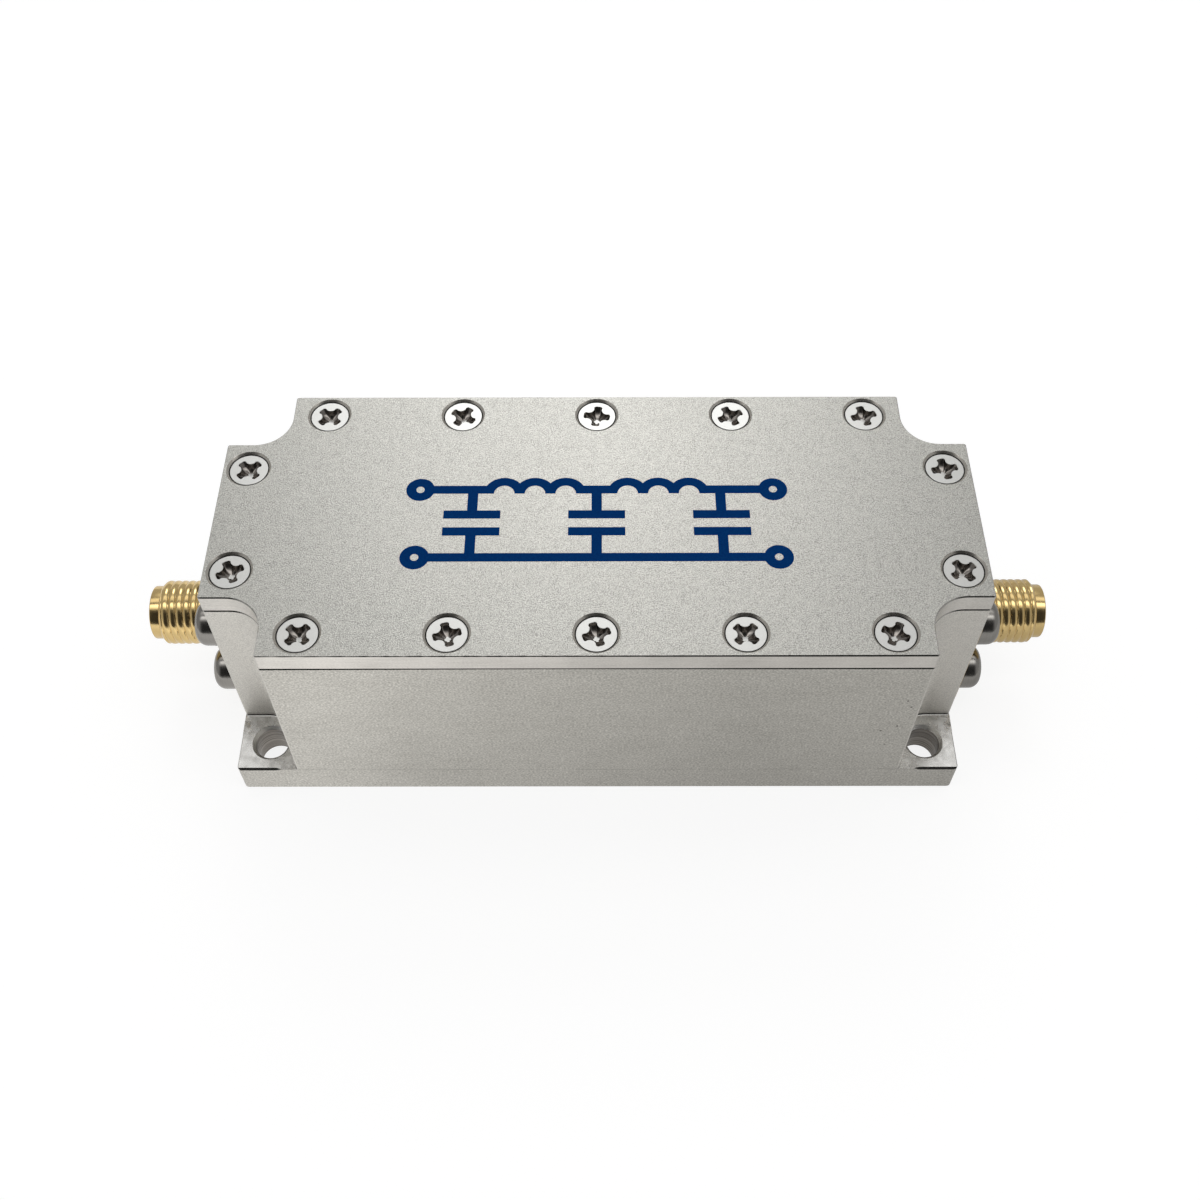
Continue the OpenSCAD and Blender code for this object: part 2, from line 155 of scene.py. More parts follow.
def rounded(half_l: float, half_w: float, radius: float, steps: int = 5) -> list[Flat]:
    """Closed rectangle with rounded corners, centred.

    Args:
        half_l: Half its length.
        half_w: Half its width.
        radius: Radius of the corners.
        steps: Steps in a corner.

    Returns:
        The points, counter-clockwise.
    """
    x, y = half_l - radius, half_w - radius
    corners = (((x, y), 0), ((-x, y), 90), ((-x, -y), 180), ((x, -y), 270))
    return [p for centre, turn in corners for p in arc(centre, radius, turn, turn + 90, steps)]


def quarters(section: Sequence[Flat]) -> list[Flat]:
    """Closed outline from its first quarter, which runs from the +X side to the +Y side.

    Args:
        section: Points of the quarter with positive coordinates.

    Returns:
        The whole outline, counter-clockwise.
    """
    outline: list[Flat] = []
    for sx, sy in ((1, 1), (-1, 1), (-1, -1), (1, -1)):
        part = [(sx * x, sy * y) for x, y in section]
        outline += part if sx * sy > 0 else part[::-1]
    return outline


def holds(loops: Iterable[Sequence[Flat]], spot: Flat) -> bool:
    """Whether a spot lies inside a set of closed loops, holes taken out.

    Args:
        loops: Closed loops of points.
        spot: The spot to test.

    Returns:
        True for a spot inside an odd number of loops.
    """
    inside = False
    px, py = spot
    for loop in loops:
        x1, y1 = loop[-1]
        for x2, y2 in loop:
            if (y1 > py) != (y2 > py) and px < (x2 - x1) * (py - y1) / (y2 - y1) + x1:
                inside = not inside
            x1, y1 = x2, y2
    return inside


def put(name: str, data: ID) -> Object:
    """Puts a new object into the scene.

    Args:
        name: Name of the object.
        data: What it shows, such as a mesh.

    Returns:
        The object.
    """
    made = bpy.data.objects.new(name, data)
    bpy.context.scene.collection.objects.link(made)
    return made


def settle(piece: Object) -> Object:
    """Turns what a piece's modifiers make into its plain mesh, and removes them.

    Args:
        piece: Object with live modifiers.

    Returns:
        The same object.
    """
    bpy.context.view_layer.update()
    graph = bpy.context.evaluated_depsgraph_get()
    made = bpy.data.meshes.new_from_object(piece.evaluated_get(graph), preserve_all_data_layers=True, depsgraph=graph)
    old = piece.data
    piece.modifiers.clear()
    piece.data = made
    bpy.data.meshes.remove(old)
    made.name = piece.name
    return piece


def shade(piece: Object, crease: float = 32.0) -> Object:
    """Smooths small roundings, keeps true edges crisp and lets large faces stay flat.

    Args:
        piece: Object to shade.
        crease: Angle in degrees from which an edge stays sharp.

    Returns:
        The same object.
    """
    piece.data.shade_smooth()
    piece.data.set_sharp_from_angle(angle=radians(crease))
    shell = bmesh.new()
    shell.from_mesh(piece.data)
    flat = shell.faces.layers.bool.get("flat")
    for edge in shell.edges:
        if len({face[flat] for face in edge.link_faces}) > 1:
            edge.smooth = False
    shell.to_mesh(piece.data)
    shell.free()
    weighted = piece.modifiers.new("weighted", "WEIGHTED_NORMAL")
    weighted.keep_sharp = True
    weighted.weight = 80
    return settle(piece)


def mount(piece: Object, node: str) -> None:
    """Puts a finished piece on the filter's one body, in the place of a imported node, and reports it.

    Args:
        piece: The finished piece.
        node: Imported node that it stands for.
    """
    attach(piece, "root")
    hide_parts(node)
    piece.data.calc_loop_triangles()
    LOG.info("%s: %d triangles", piece.name, len(piece.data.loop_triangles))


# ---------------------------------------------------------------- finishes


class Skin:
    """A material under work: its node tree, its shader and the colour that it has so far."""

    def __init__(self, finish: "Finish") -> None:
        """Starts the material with its plain colour and gloss.

        Args:
            finish: The finish that it shows.
        """
        self.finish = finish
        self.colour: Any = linear(finish.colour)
        self.material = bpy.data.materials.new(finish.name)
        self.material.use_nodes = True
        self.material.diffuse_color = self.colour
        self.tree = self.material.node_tree
        self.tree.nodes.clear()
        self.shader = add(self.tree, "ShaderNodeBsdfPrincipled", {
            "Base Color": self.colour, "Metallic": finish.metallic, "Roughness": finish.roughness})
        add(self.tree, "ShaderNodeOutputMaterial", {"Surface": self.shader})
        self.place = add(self.tree, "ShaderNodeTexCoord").outputs["Object"]

    def feed(self, name: str, value: NodeSocket) -> None:
        """Links a value to one of the shader's inputs."""
        self.tree.links.new(value, self.shader.inputs[name])

    def noise(self, size_mm: float, stretch: Point = (1.0, 1.0, 1.0), detail: float = 2.0,
              low: float = 0.0, high: float = 1.0) -> Node:
        """Noise of a real size, brought to a range.

        Args:
            size_mm: Size of its grains.
            stretch: How many times longer the grains are along each axis.
            detail: Octaves of finer grain.
            low: Value in its darkest parts.
            high: Value in its brightest parts.

        Returns:
            The node that gives the value.
        """
        scale = tuple(1 / (s * size_mm * MM) for s in stretch)
        placed = add(self.tree, "ShaderNodeMapping", {"Vector": self.place, "Scale": scale})
        grains = add(self.tree, "ShaderNodeTexNoise", {"Vector": placed, "Scale": 1.0, "Detail": detail})
        return add(self.tree, RANGE, (grains, *NOISE_SPAN, low, high))

    def tint(self, pattern: Source, share: Source = 1.0, other: str = "") -> None:
        """Mixes another colour into the one so far.

        Args:
            pattern: Pattern from 0 to 1.
            share: Share of the other colour where the pattern is 1.
            other: The other colour as sRGB hex, if it isn't the finish's dark one.
        """
        amount = add(self.tree, MATH, (pattern, share), operation="MULTIPLY")
        mixed = add(self.tree, "ShaderNodeMix", {
            0: amount, 6: self.colour, 7: linear(other or self.finish.dark)}, data_type="RGBA")
        self.colour = mixed.outputs[2]
        self.feed("Base Color", self.colour)

    def gloss(self, size_mm: float, less: float, more: float, stretch: Point = (1.0, 1.0, 1.0),
              detail: float = 2.0) -> None:
        """Makes the gloss uneven.

        Args:
            size_mm: Size of the clouds.
            less: How far the roughness falls below the finish's.
            more: How far it rises above it.
            stretch: How many times longer the clouds are along each axis.
            detail: Octaves of finer clouds.
        """
        rough = self.finish.roughness
        self.feed("Roughness", self.noise(size_mm, stretch, detail, rough - less, rough + more).outputs[0])

    def bump(self, height: Source, depth_mm: float, strength: float = 0.5) -> None:
        """Raises the surface by a pattern.

        Args:
            height: Pattern from 0 to 1.
            depth_mm: Height of the pattern.
            strength: Share of the effect.
        """
        self.feed("Normal", add(self.tree, "ShaderNodeBump", {
            "Strength": strength, "Distance": depth_mm * MM, "Height": height}).outputs[0])


@dataclass(frozen=True)
class Finish:
    """One real finish: its two colours and its gloss, and the pattern that its making left."""

    name: str
    colour: str
    dark: str
    roughness: float
    metallic: float = 1.0

    def material(self) -> Material:
        """Builds the material, or gives the one already built.

        Returns:
            The material.
        """
        made = bpy.data.materials.get(self.name)
        if made is None:
            skin = Skin(self)
            self.pattern(skin)
            made = skin.material
        return made

    def pattern(self, skin: Skin) -> None:
        """Adds what the making left on the surface; a plain finish has nothing."""


@dataclass(frozen=True)
class Blasted(Finish):
    """Metal struck by fine beads or shot: an even sparkle of tiny dimples and soft clouds."""

    grain_mm: float = 0.14
    share: float = 0.35
    patch_mm: float = 0.8
    patch_swing: float = 0.16
    cloud_mm: float = 14.0
    depth_mm: float = 0.006

    def pattern(self, skin: Skin) -> None:
        """Adds grain in colour and height, stronger in patches, and clouds in the gloss.

        Args:
            skin: The material under work.
        """
        grain = skin.noise(self.grain_mm, detail=1.0)
        low, high = (1 - self.patch_swing) * self.share, (1 + self.patch_swing) * self.share
        skin.tint(grain, skin.noise(self.patch_mm, detail=3.0, low=low, high=high))
        skin.gloss(self.cloud_mm, less=0.012, more=0.012)
        skin.bump(grain, self.depth_mm, 0.6)


@dataclass(frozen=True)
class Ground(Finish):
    """Metal cut by the side of a mill, then matted: fine grain, level lines, and the traces of use."""

    line_mm: float = 0.09
    run: float = 60.0  # how many times longer than wide the lines are
    share: float = 0.45
    cloud_mm: float = 2.6
    grain_mm: float = 0.12
    grain_long: float = 1.6
    grain_share: float = 0.0
    depth_mm: float = 0.002
    pass_mm: float = 0.0
    pass_half: Flat = (0.04, 0.11)  # half the line's width, at its core and at its edge
    pits: float = 0.0
    pit_cell: float = 1.1
    pit_clean: float = 0.28  # cells whose random shade is under this have no pit
    pit_edge: Flat = (0.065, 0.125)  # share of a cell that is dark, and that is touched
    pit_spot: Point = (30.0, -15.0, 13.0)
    pit_reach: float = 8.0
    pit_core: float = 0.45  # share of the reach within which they are all at full strength

    def pattern(self, skin: Skin) -> None:
        """Adds lines and grain in colour, gloss and height, and the traces that this finish has.

        Args:
            skin: The material under work.
        """
        tree, longer = skin.tree, (self.grain_long, self.grain_long, 1.0)
        line = skin.noise(self.line_mm, (self.run, self.run, 1.0), 3.0)
        cloud = skin.noise(self.cloud_mm, longer, 3.0)
        grain = skin.noise(self.grain_mm, longer, 1.0)
        lines = add(tree, MATH, (line, cloud), operation="MULTIPLY")
        lines = add(tree, MATH, (lines, self.share), operation="MULTIPLY")
        grains = add(tree, MATH, (grain, self.grain_share), operation="MULTIPLY")
        skin.tint(add(tree, MATH, (lines, grains), operation="ADD"))
        if self.pass_mm:
            self.tool_pass(skin, cloud)
        if self.pits:
            self.pitting(skin)
        skin.gloss(0.5, less=0.04, more=0.05, stretch=(8.0, 8.0, 1.0))
        skin.bump(add(tree, MATH, (line, grain), operation="ADD"), self.depth_mm)

    def tool_pass(self, skin: Skin, cloud: Node) -> None:
        """Adds the faint dark line where two passes of the tool meet.

        Args:
            skin: The material under work.
            cloud: Pattern by which the line comes and goes.
        """
        height = add(skin.tree, "ShaderNodeSeparateXYZ", (skin.place,)).outputs["Z"]
        off = add(skin.tree, MATH, (height, self.pass_mm * MM), operation="SUBTRACT")
        off = add(skin.tree, MATH, (off,), operation="ABSOLUTE")
        near, far = (half * MM for half in self.pass_half)
        skin.tint(add(skin.tree, RANGE, (off, near, far, 0.3, 0.0)), cloud, DIRT)

    def pitting(self, skin: Skin) -> None:
        """Adds dark pits around one spot.

        Args:
            skin: The material under work.
        """
        tree, reach = skin.tree, self.pit_reach * MM
        cells = add(tree, "ShaderNodeTexVoronoi", {
            "Vector": skin.place, "Scale": 1 / (self.pit_cell * MM), "Randomness": 1.0}).outputs
        pitted = add(tree, MATH, (cells["Color"], self.pit_clean), operation="GREATER_THAN")
        edge = add(tree, RANGE, (cells["Distance"], *self.pit_edge, 1.0, 0.0))
        away = add(tree, "ShaderNodeVectorMath", (
            skin.place, tuple(c * MM for c in self.pit_spot)), operation="DISTANCE").outputs["Value"]
        near = add(tree, RANGE, (away, self.pit_core * reach, reach, self.pits, 0.0))
        skin.tint(add(tree, MATH, (edge, pitted), operation="MULTIPLY"), near, DIRT)


@dataclass(frozen=True)
class EndMilled(Finish):
    """Metal cut by the face of an end mill: bright, with smears and faint arcs of the cutter's path."""

    smear_mm: float = 0.8
    share: float = 0.4
    arc_mm: float = 1.0
    depth_mm: float = 0.0015

    def pattern(self, skin: Skin) -> None:
        """Adds smears in colour and gloss, and the cutter's arcs in height.

        Args:
            skin: The material under work.
        """
        skin.tint(skin.noise(self.smear_mm, (1.0, 1.0, 1.6), 4.0), self.share)
        skin.gloss(0.7 * self.smear_mm, less=0.08, more=0.12)
        arcs = add(skin.tree, "ShaderNodeTexWave", {
            "Vector": skin.place, "Scale": WAVE_PERIOD / (self.arc_mm * MM), "Distortion": 3.0, "Detail": 2.0,
            "Detail Scale": 0.6}, wave_type="RINGS", rings_direction="SPHERICAL")
        skin.bump(arcs.outputs["Fac"], self.depth_mm, 0.35)


@dataclass(frozen=True)
class Turned(Finish):
    """Metal cut on a lathe or by a drill: fine rings that lie square to the tool's axis."""

    axis: str = "Z"
    ring_mm: float = 0.12
    ring_run: float = 400.0
    share: float = 0.35
    depth_mm: float = 0.0025

    def pattern(self, skin: Skin) -> None:
        """Adds rings as noise that changes only along the axis.

        Args:
            skin: The material under work.
        """
        rings = skin.noise(self.ring_mm, tuple(1.0 if axis == self.axis else self.ring_run for axis in "XYZ"))
        skin.tint(rings, self.share)
        skin.gloss(0.6, less=0.03, more=0.04)
        skin.bump(rings, self.depth_mm)


@dataclass(frozen=True)
class Plated(Finish):
    """Bright plating over turned metal: mirror-like, with a faint haze, uneven tone and a little waviness."""

    haze: float = 0.05
    share: float = 0.4
    depth_mm: float = 0.0015

    def pattern(self, skin: Skin) -> None:
        """Adds uneven tone, haze in the gloss and a little waviness.

        Args:
            skin: The material under work.
        """
        skin.tint(skin.noise(1.2, detail=3.0, high=self.share))
        skin.gloss(0.35, less=self.haze, more=self.haze, detail=4.0)
        skin.bump(skin.noise(0.25), self.depth_mm, 0.4)


@dataclass(frozen=True)
class Moulded(Finish):
    """Non-metal with a fine uneven skin: turned plastic, laminate, ink, ceramic, or a near-black painted shade."""

    metallic: float = 0.0
    grain_mm: float = 0.2
    share: float = 0.5
    depth_mm: float = 0.002
    specular: float = 0.5

    def pattern(self, skin: Skin) -> None:
        """Adds grain in colour and height.

        Args:
            skin: The material under work.
        """
        grain = skin.noise(self.grain_mm)
        skin.tint(grain, self.share)
        skin.bump(grain, self.depth_mm)
        skin.shader.inputs["Specular IOR Level"].default_value = self.specular


@dataclass(frozen=True)
class TinnedEnds(Moulded):
    """Chip ceramic whose two ends are dipped in solder: dull body, silvery ends."""

    inner_mm: float = 4.6
    outer_mm: float = 6.8
    solder: str = "#d4d2cc"

    def pattern(self, skin: Skin) -> None:
        """Adds the grain, then solder outside the body's part of the chip.

        Args:
            skin: The material under work.
        """
        super().pattern(skin)
        y = add(skin.tree, "ShaderNodeSeparateXYZ", (skin.place,)).outputs["Y"]
        near = add(skin.tree, MATH, (y, self.inner_mm * MM), operation="LESS_THAN")
        far = add(skin.tree, MATH, (y, self.outer_mm * MM), operation="GREATER_THAN")
        ends = add(skin.tree, MATH, (near, far), operation="MAXIMUM")
        skin.tint(ends, other=self.solder)
        skin.feed("Metallic", ends.outputs[0])


# Blasted aluminium: the lid's even, slightly sparkling pale grey; real dimples are finer, drawn coarser to show
LID_BLASTED = Blasted("Aluminium blasted", "#c6c5bf", "#62615e", 0.35, grain_mm=0.11, share=0.68, depth_mm=0.0124)
# Screen ink: flat navy with the metal's grain just felt under it
NAVY_INK = Moulded("Ink navy printed", "#002f68", "#003f7e", 0.6, grain_mm=0.14, depth_mm=0.003, specular=0.02)
# Aluminium cut by the side of a mill: the housing's warm grey sides, matt grain with a hint of level lines
SIDE_GROUND = Ground("Aluminium side milled", "#e1ded6", "#7b7871", 0.42, share=0.14, grain_share=0.6,
                     pass_mm=3.65, pits=0.9)
# The lid's milled edge: a shade brighter and finer than the block's sides
LID_SIDE = Ground("Aluminium lid edge milled", "#e9e5de", "#918d86", 0.4, share=0.35, grain_share=0.2)
# Edges broken by a deburring tool: narrow polished bands that show hard black and white lines
EDGE_POLISHED = Turned("Aluminium deburred", "#bfbdb8", "#8a8883", 0.12, ring_mm=0.3, depth_mm=0.004)
# Countersinks: cut bright by the sinking tool, with fine rings
SINK_CUT = Turned("Aluminium countersunk", "#cdc9c1", "#a19c93", 0.26, ring_mm=0.05, share=0.4)
# Chamfers at the mounting holes: nearly white, rippled by a tool that chattered
CHAMFER_CHATTERED = Turned("Aluminium chamfered with chatter", "#fdfbf7", "#b5b1a9", 0.4, ring_mm=0.09,
                           share=0.4, depth_mm=0.05)
# The gap between a sunk head and its cone: painted shade, near-black, so it draws a black ring
GAP_PAINTED_SHADE = Moulded("Oil in screw gap", "#1d1a17", "#0f0d0b", 0.45, grain_mm=0.1)
# Aluminium cut by an end mill: the ears' bright smeared faces
EAR_MILLED = EndMilled("Aluminium end milled", "#fefdfa", "#7f7a72", 0.25)
# The base's lower edge: dull grey as painted shade, so it draws the dark line where the block meets the floor
BASE_EDGE_PAINTED_SHADE = Turned("Aluminium base edge worn", "#7d7a74", "#5b5853", 0.4, ring_mm=0.2, depth_mm=0.002)
# Notch walls: cut by the mill's flank, even and satin
NOTCH_FLANK = Blasted("Aluminium flank milled", "#f1eee7", "#86827b", 0.56, grain_mm=0.12, depth_mm=0.005)
# Drilled aluminium: fine dark rings down the mounting holes
HOLE_BORED = Turned("Aluminium bored", "#a09a92", "#3f3a34", 0.34, ring_mm=0.11, share=0.95, depth_mm=0.02)
# Nickel-plated screw steel: pale heads with a fine grain
SCREW_NICKEL = Blasted("Steel nickel plated", "#cacac7", "#b4b4b1", 0.34, grain_mm=0.1, depth_mm=0.003)
# The driver's recess: punched metal coloured brown-black as painted shade inside the recess
SCREW_RECESS_PAINTED_SHADE = Blasted("Steel punched recess", "#8d8883", "#504b47", 0.17, grain_mm=0.2, depth_mm=0.002)
# Stainless pan heads: smooth and darker, so that they carry long highlights
HEAD_STAINLESS = Turned("Steel stainless turned", "#9c9994", "#84817c", 0.21, axis="X", depth_mm=0.001)
# Gold plating on turned brass: warm and nearly mirror-bright
GOLD_PLATED = Plated("Gold plating bright", "#e8cb8e", "#dabb80", 0.16)
# Gold on the spring contact: the same gold, a shade paler and satin
GOLD_CONTACT = Plated("Gold plating contact", "#e8d39e", "#d6bc83", 0.24)
# Turned PTFE: waxy white, hardly any gloss
BEAD_PTFE = Moulded("PTFE turned", "#efeeea", "#dedcd6", 0.42, grain_mm=0.3)
# Glass laminate under green solder resist: semi-gloss, a little uneven over the cloth
BOARD_RESIST = Moulded("Laminate green resist", "#1f5a34", "#2f7a49", 0.35, grain_mm=0.5)
# Solder-dipped copper: soft silver with a slightly lumpy skin
PAD_TINNED = Blasted("Copper tinned", "#d3d0c9", "#aaa69e", 0.3, grain_mm=0.5, depth_mm=0.02)
# Enamelled winding wire: red-brown copper under a clear glossy coat
WIRE_ENAMEL = Plated("Copper enamelled", "#b8643a", "#8a4526", 0.22)
# Sintered chip ceramic with solder-dipped ends: dull tan between two silvery caps
CHIP_CERAMIC = TinnedEnds("Ceramic chip tinned", "#a08462", "#7f6748", 0.55, grain_mm=0.15, share=0.4)
# Bare brass sheet: rolled, with level lines and a dull yellow shine
WALL_BRASS = Ground("Brass sheet rolled", "#cdb468", "#8f7a3d", 0.3, line_mm=0.06, depth_mm=0.001)


# ---------------------------------------------------------------- shells


class Form:
    """A closed shell under construction, in millimetres, with a finish for each face."""

    def __init__(self) -> None:
        """Starts with no points and no faces."""
        self.points: list[Point] = []
        self.faces: list[tuple[int, ...]] = []
        self.finishes: list[Finish] = []
        self.flats: list[bool] = []

    def ring(self, points: Iterable[Point]) -> Ring:
        """Adds points.

        Args:
            points: The points.

        Returns:
            Their numbers.
        """
        first = len(self.points)
        self.points.extend(points)
        return list(range(first, len(self.points)))

    def level(self, outline: Iterable[Flat], z: float) -> Ring:
        """Adds a horizontal ring at a height and gives its numbers."""
        return self.ring((x, y, z) for x, y in outline)

    def face(self, corners: Iterable[int], finish: Finish, flat: bool = False) -> None:
        """Adds one face.

        Args:
            corners: Numbers of its points.
            finish: Its finish.
            flat: Whether it belongs to a flat filling.
        """
        self.faces.append(tuple(corners))
        self.finishes.append(finish)
        self.flats.append(flat)

    def stack(self, rings: Sequence[Ring], *finishes: Finish) -> None:
        """Joins neighbouring rings of equal length by quads.

        Args:
            rings: The rings in order.
            finishes: Finish of each row of quads; the last one goes on to the end.
        """
        for low, high, finish in zip(rings, rings[1:], chain(finishes, repeat(finishes[-1]))):
            for i in range(len(low)):
                j = (i + 1) % len(low)
                self.face((low[i], low[j], high[j], high[i]), finish)

    def cap(self, rings: Sequence[Ring], finish: Finish, plane: Plane = Plane.LEVEL,
            marks: Sequence[Sequence[Flat]] = (), ink: Finish | None = None) -> None:
        """Fills a flat face between an outer ring and its holes.

        Args:
            rings: Outer ring and hole rings, all in one plane.
            finish: Finish of the face.
            plane: Plane of the face.
            marks: Closed outlines of what is printed on the face.
            ink: Finish inside the marks.
        """
        a, b = plane.value
        known = [i for ring in rings for i in ring]
        loops = [[(self.points[i][a], self.points[i][b]) for i in ring] for ring in rings]
        level = self.points[known[0]][3 - a - b]
        flat: list[Flat] = []
        edges: list[tuple[int, int]] = []
        for loop in [*loops, *marks]:
            first, count = len(flat), len(loop)
            flat += loop
            edges += [(first + k, first + (k + 1) % count) for k in range(count)]
        spots, _, triangles, sources, _, _ = delaunay_2d_cdt([Vector(p) for p in flat], edges, [], 0, 1e-5)
        numbers: list[int] = []
        for spot, source in zip(spots, sources):
            old = [known[s] for s in source if s < len(known)]
            numbers.append((old or self.ring([plane.point(spot, level)]))[0])
        for triangle in triangles:
            centre = sum((Vector(spots[k]) for k in triangle), Vector((0, 0))) / 3
            if holds(loops, centre):
                inked = any(holds([mark], centre) for mark in marks)
                self.face([numbers[k] for k in triangle], ink if inked else finish, True)

    def solid(self, rings: Sequence[Ring], *finishes: Finish, ends: Sequence[Finish] = (),
              plane: Plane = Plane.LEVEL) -> None:
        """Joins rings and closes both ends.

        Args:
            rings: The rings in order.
            finishes: Finish of each row of quads; the last one goes on to the end.
            ends: Finish of the first and of the last end, if they differ from the last row's.
            plane: Plane of the rings.
        """
        self.stack(rings, *finishes)
        for ring, finish in zip((rings[0], rings[-1]), ends or repeat(finishes[-1])):
            self.cap([ring], finish, plane)

    def rod(self, middle: Flat, radius: float, ends: Iterable[float], steps: int, finish: Finish,
            plane: Plane = Plane.LEVEL) -> None:
        """Adds a round rod that stands square to a plane.

        Args:
            middle: Its place in the plane.
            radius: Its radius.
            ends: Where it starts and ends along the third axis.
            steps: Number of sides.
            finish: Finish of its faces.
            plane: The plane.
        """
        spots = circle(middle, radius, steps)
        self.solid([self.ring(plane.point(spot, end) for spot in spots) for end in ends], finish, plane=plane)

    def box(self, low: Point, high: Point, finish: Finish) -> None:
        """Adds a box between two corners."""
        base = [(low[0], low[1]), (high[0], low[1]), (high[0], high[1]), (low[0], high[1])]
        self.solid([self.level(base, low[2]), self.level(base, high[2])], finish)

    def piece(self, name: str, finishes: Sequence[Finish]) -> Object:
        """Makes the shell an object at the origin, its normals outwards.

        Args:
            name: Name of the object.
            finishes: All its finishes; a face's region is its finish's place in this row.

        Returns:
            The new object.
        """
        numbers = {finish: i for i, finish in enumerate(finishes)}
        regions = [numbers[finish] for finish in self.finishes]
        data = bpy.data.meshes.new(name)
        data.from_pydata([(x * MM, y * MM, z * MM) for x, y, z in self.points], [], self.faces)
        for finish in finishes:
            data.materials.append(finish.material())
        data.polygons.foreach_set("material_index", regions)
        data.attributes.new("region", "INT", "FACE").data.foreach_set("value", regions)
        data.attributes.new("flat", "BOOLEAN", "FACE").data.foreach_set("value", self.flats)
        shell = bmesh.new()
        shell.from_mesh(data)
        bmesh.ops.remove_doubles(shell, verts=shell.verts, dist=WELD_MM * MM)
        bmesh.ops.dissolve_degenerate(shell, edges=shell.edges, dist=SPECK_MM * MM)
        bmesh.ops.recalc_face_normals(shell, faces=shell.faces)
        shell.to_mesh(data)
        shell.free()
        return put(name, data)


# ---------------------------------------------------------------- the box


@dataclass
class Layout:
    """Sizes that several pieces share."""

    length: float = 70.0
    width: float = 30.0
    height: float = 22.0
    notch_l: float = 5.8
    notch_w: float = 6.1
    notch_r: float = 3.4
    edge_r: float = 0.2
    rim_r: float = 0.1
    row_x: float = 25.75
    row_y: float = 12.6
    end_x: float = 32.6
    end_y: float = 5.9
    per_side: int = 5
    axis_h: float = 8.85
    seat_x: float = 34.6
    flange_offset: float = 4.0
    bead_r: float = 2.08

    def screw_places(self) -> list[Flat]:
        """Places of the lid screws: two long rows and one pair at each end.

        Returns:
            The places, the rows first.
        """
        step = 2 * self.row_x / (self.per_side - 1)
        rows = [(-self.row_x + i * step, s * self.row_y) for s in SIGNS for i in range(self.per_side)]
        return rows + [(sx * self.end_x, sy * self.end_y) for sx, sy in QUARTERS]


@dataclass
class Emblem:
    """Generic printed sign of a low-pass ladder: two coils in the upper line, three capacitors to the lower one."""

    stroke: float = 0.95
    upper_y: float = 3.3
    lower_y: float = -4.5
    end_x: float = 16.3
    ring_r: float = 0.85
    coil_xs: tuple[float, ...] = (-5.7, 5.7)
    hump_r: float = 1.42
    humps: int = 3
    plate_xs: tuple[float, ...] = (-11.4, 0.0, 11.4)
    plate_w: float = 5.2
    plate_gap: float = 1.0
    outer_steps: int = 18
    inner_steps: int = 14

    def bar(self, x0: float, y0: float, x1: float, y1: float) -> list[Flat]:
        """Rectangle between two corners."""
        return [(x0, y0), (x1, y0), (x1, y1), (x0, y1)]

    def hump(self, centre: Flat, radius: float, start: float) -> list[Flat]:
        """Half of a ring as thick as the stroke.

        Args:
            centre: Centre of the ring.
            radius: Its middle radius.
            start: Angle in degrees where the half starts.

        Returns:
            The closed outline.
        """
        half, stop = self.stroke / 2, start + 180
        return (arc(centre, radius + half, start, stop, self.outer_steps)
                + arc(centre, radius - half, stop, start, self.inner_steps))

    def outlines(self) -> list[list[Flat]]:
        """All strokes of the sign.

        Returns:
            Closed outlines, which may overlap.
        """
        half, coil, wide = self.stroke / 2, self.hump_r * self.humps, self.plate_w / 2
        near = self.end_x - self.ring_r
        stops = [-near, *(x + s * (coil - half) for x in self.coil_xs for s in SIGNS), near]
        marks = [self.bar(left, self.upper_y - half, right, self.upper_y + half)
                 for left, right in zip(stops[::2], stops[1::2])]
        marks.append(self.bar(-near, self.lower_y - half, near, self.lower_y + half))
        for x in self.coil_xs:
            marks += [self.hump((x + (2 * i + 1 - self.humps) * self.hump_r, self.upper_y - half), self.hump_r, 0)
                      for i in range(self.humps)]
        for x in (-self.end_x, self.end_x):
            for y in (self.lower_y, self.upper_y):
                marks += [self.hump((x, y), self.ring_r, start) for start in (0, 180)]
        middle = (self.upper_y + self.lower_y) / 2
        for x in self.plate_xs:
            for s, line in ((1, self.upper_y), (-1, self.lower_y)):
                inner = middle + s * self.plate_gap / 2
                outer = inner + s * self.stroke
                marks.append(self.bar(x - wide, min(inner, outer), x + wide, max(inner, outer)))
                marks.append(self.bar(x - half, min(outer, line), x + half, max(outer, line)))
        return marks


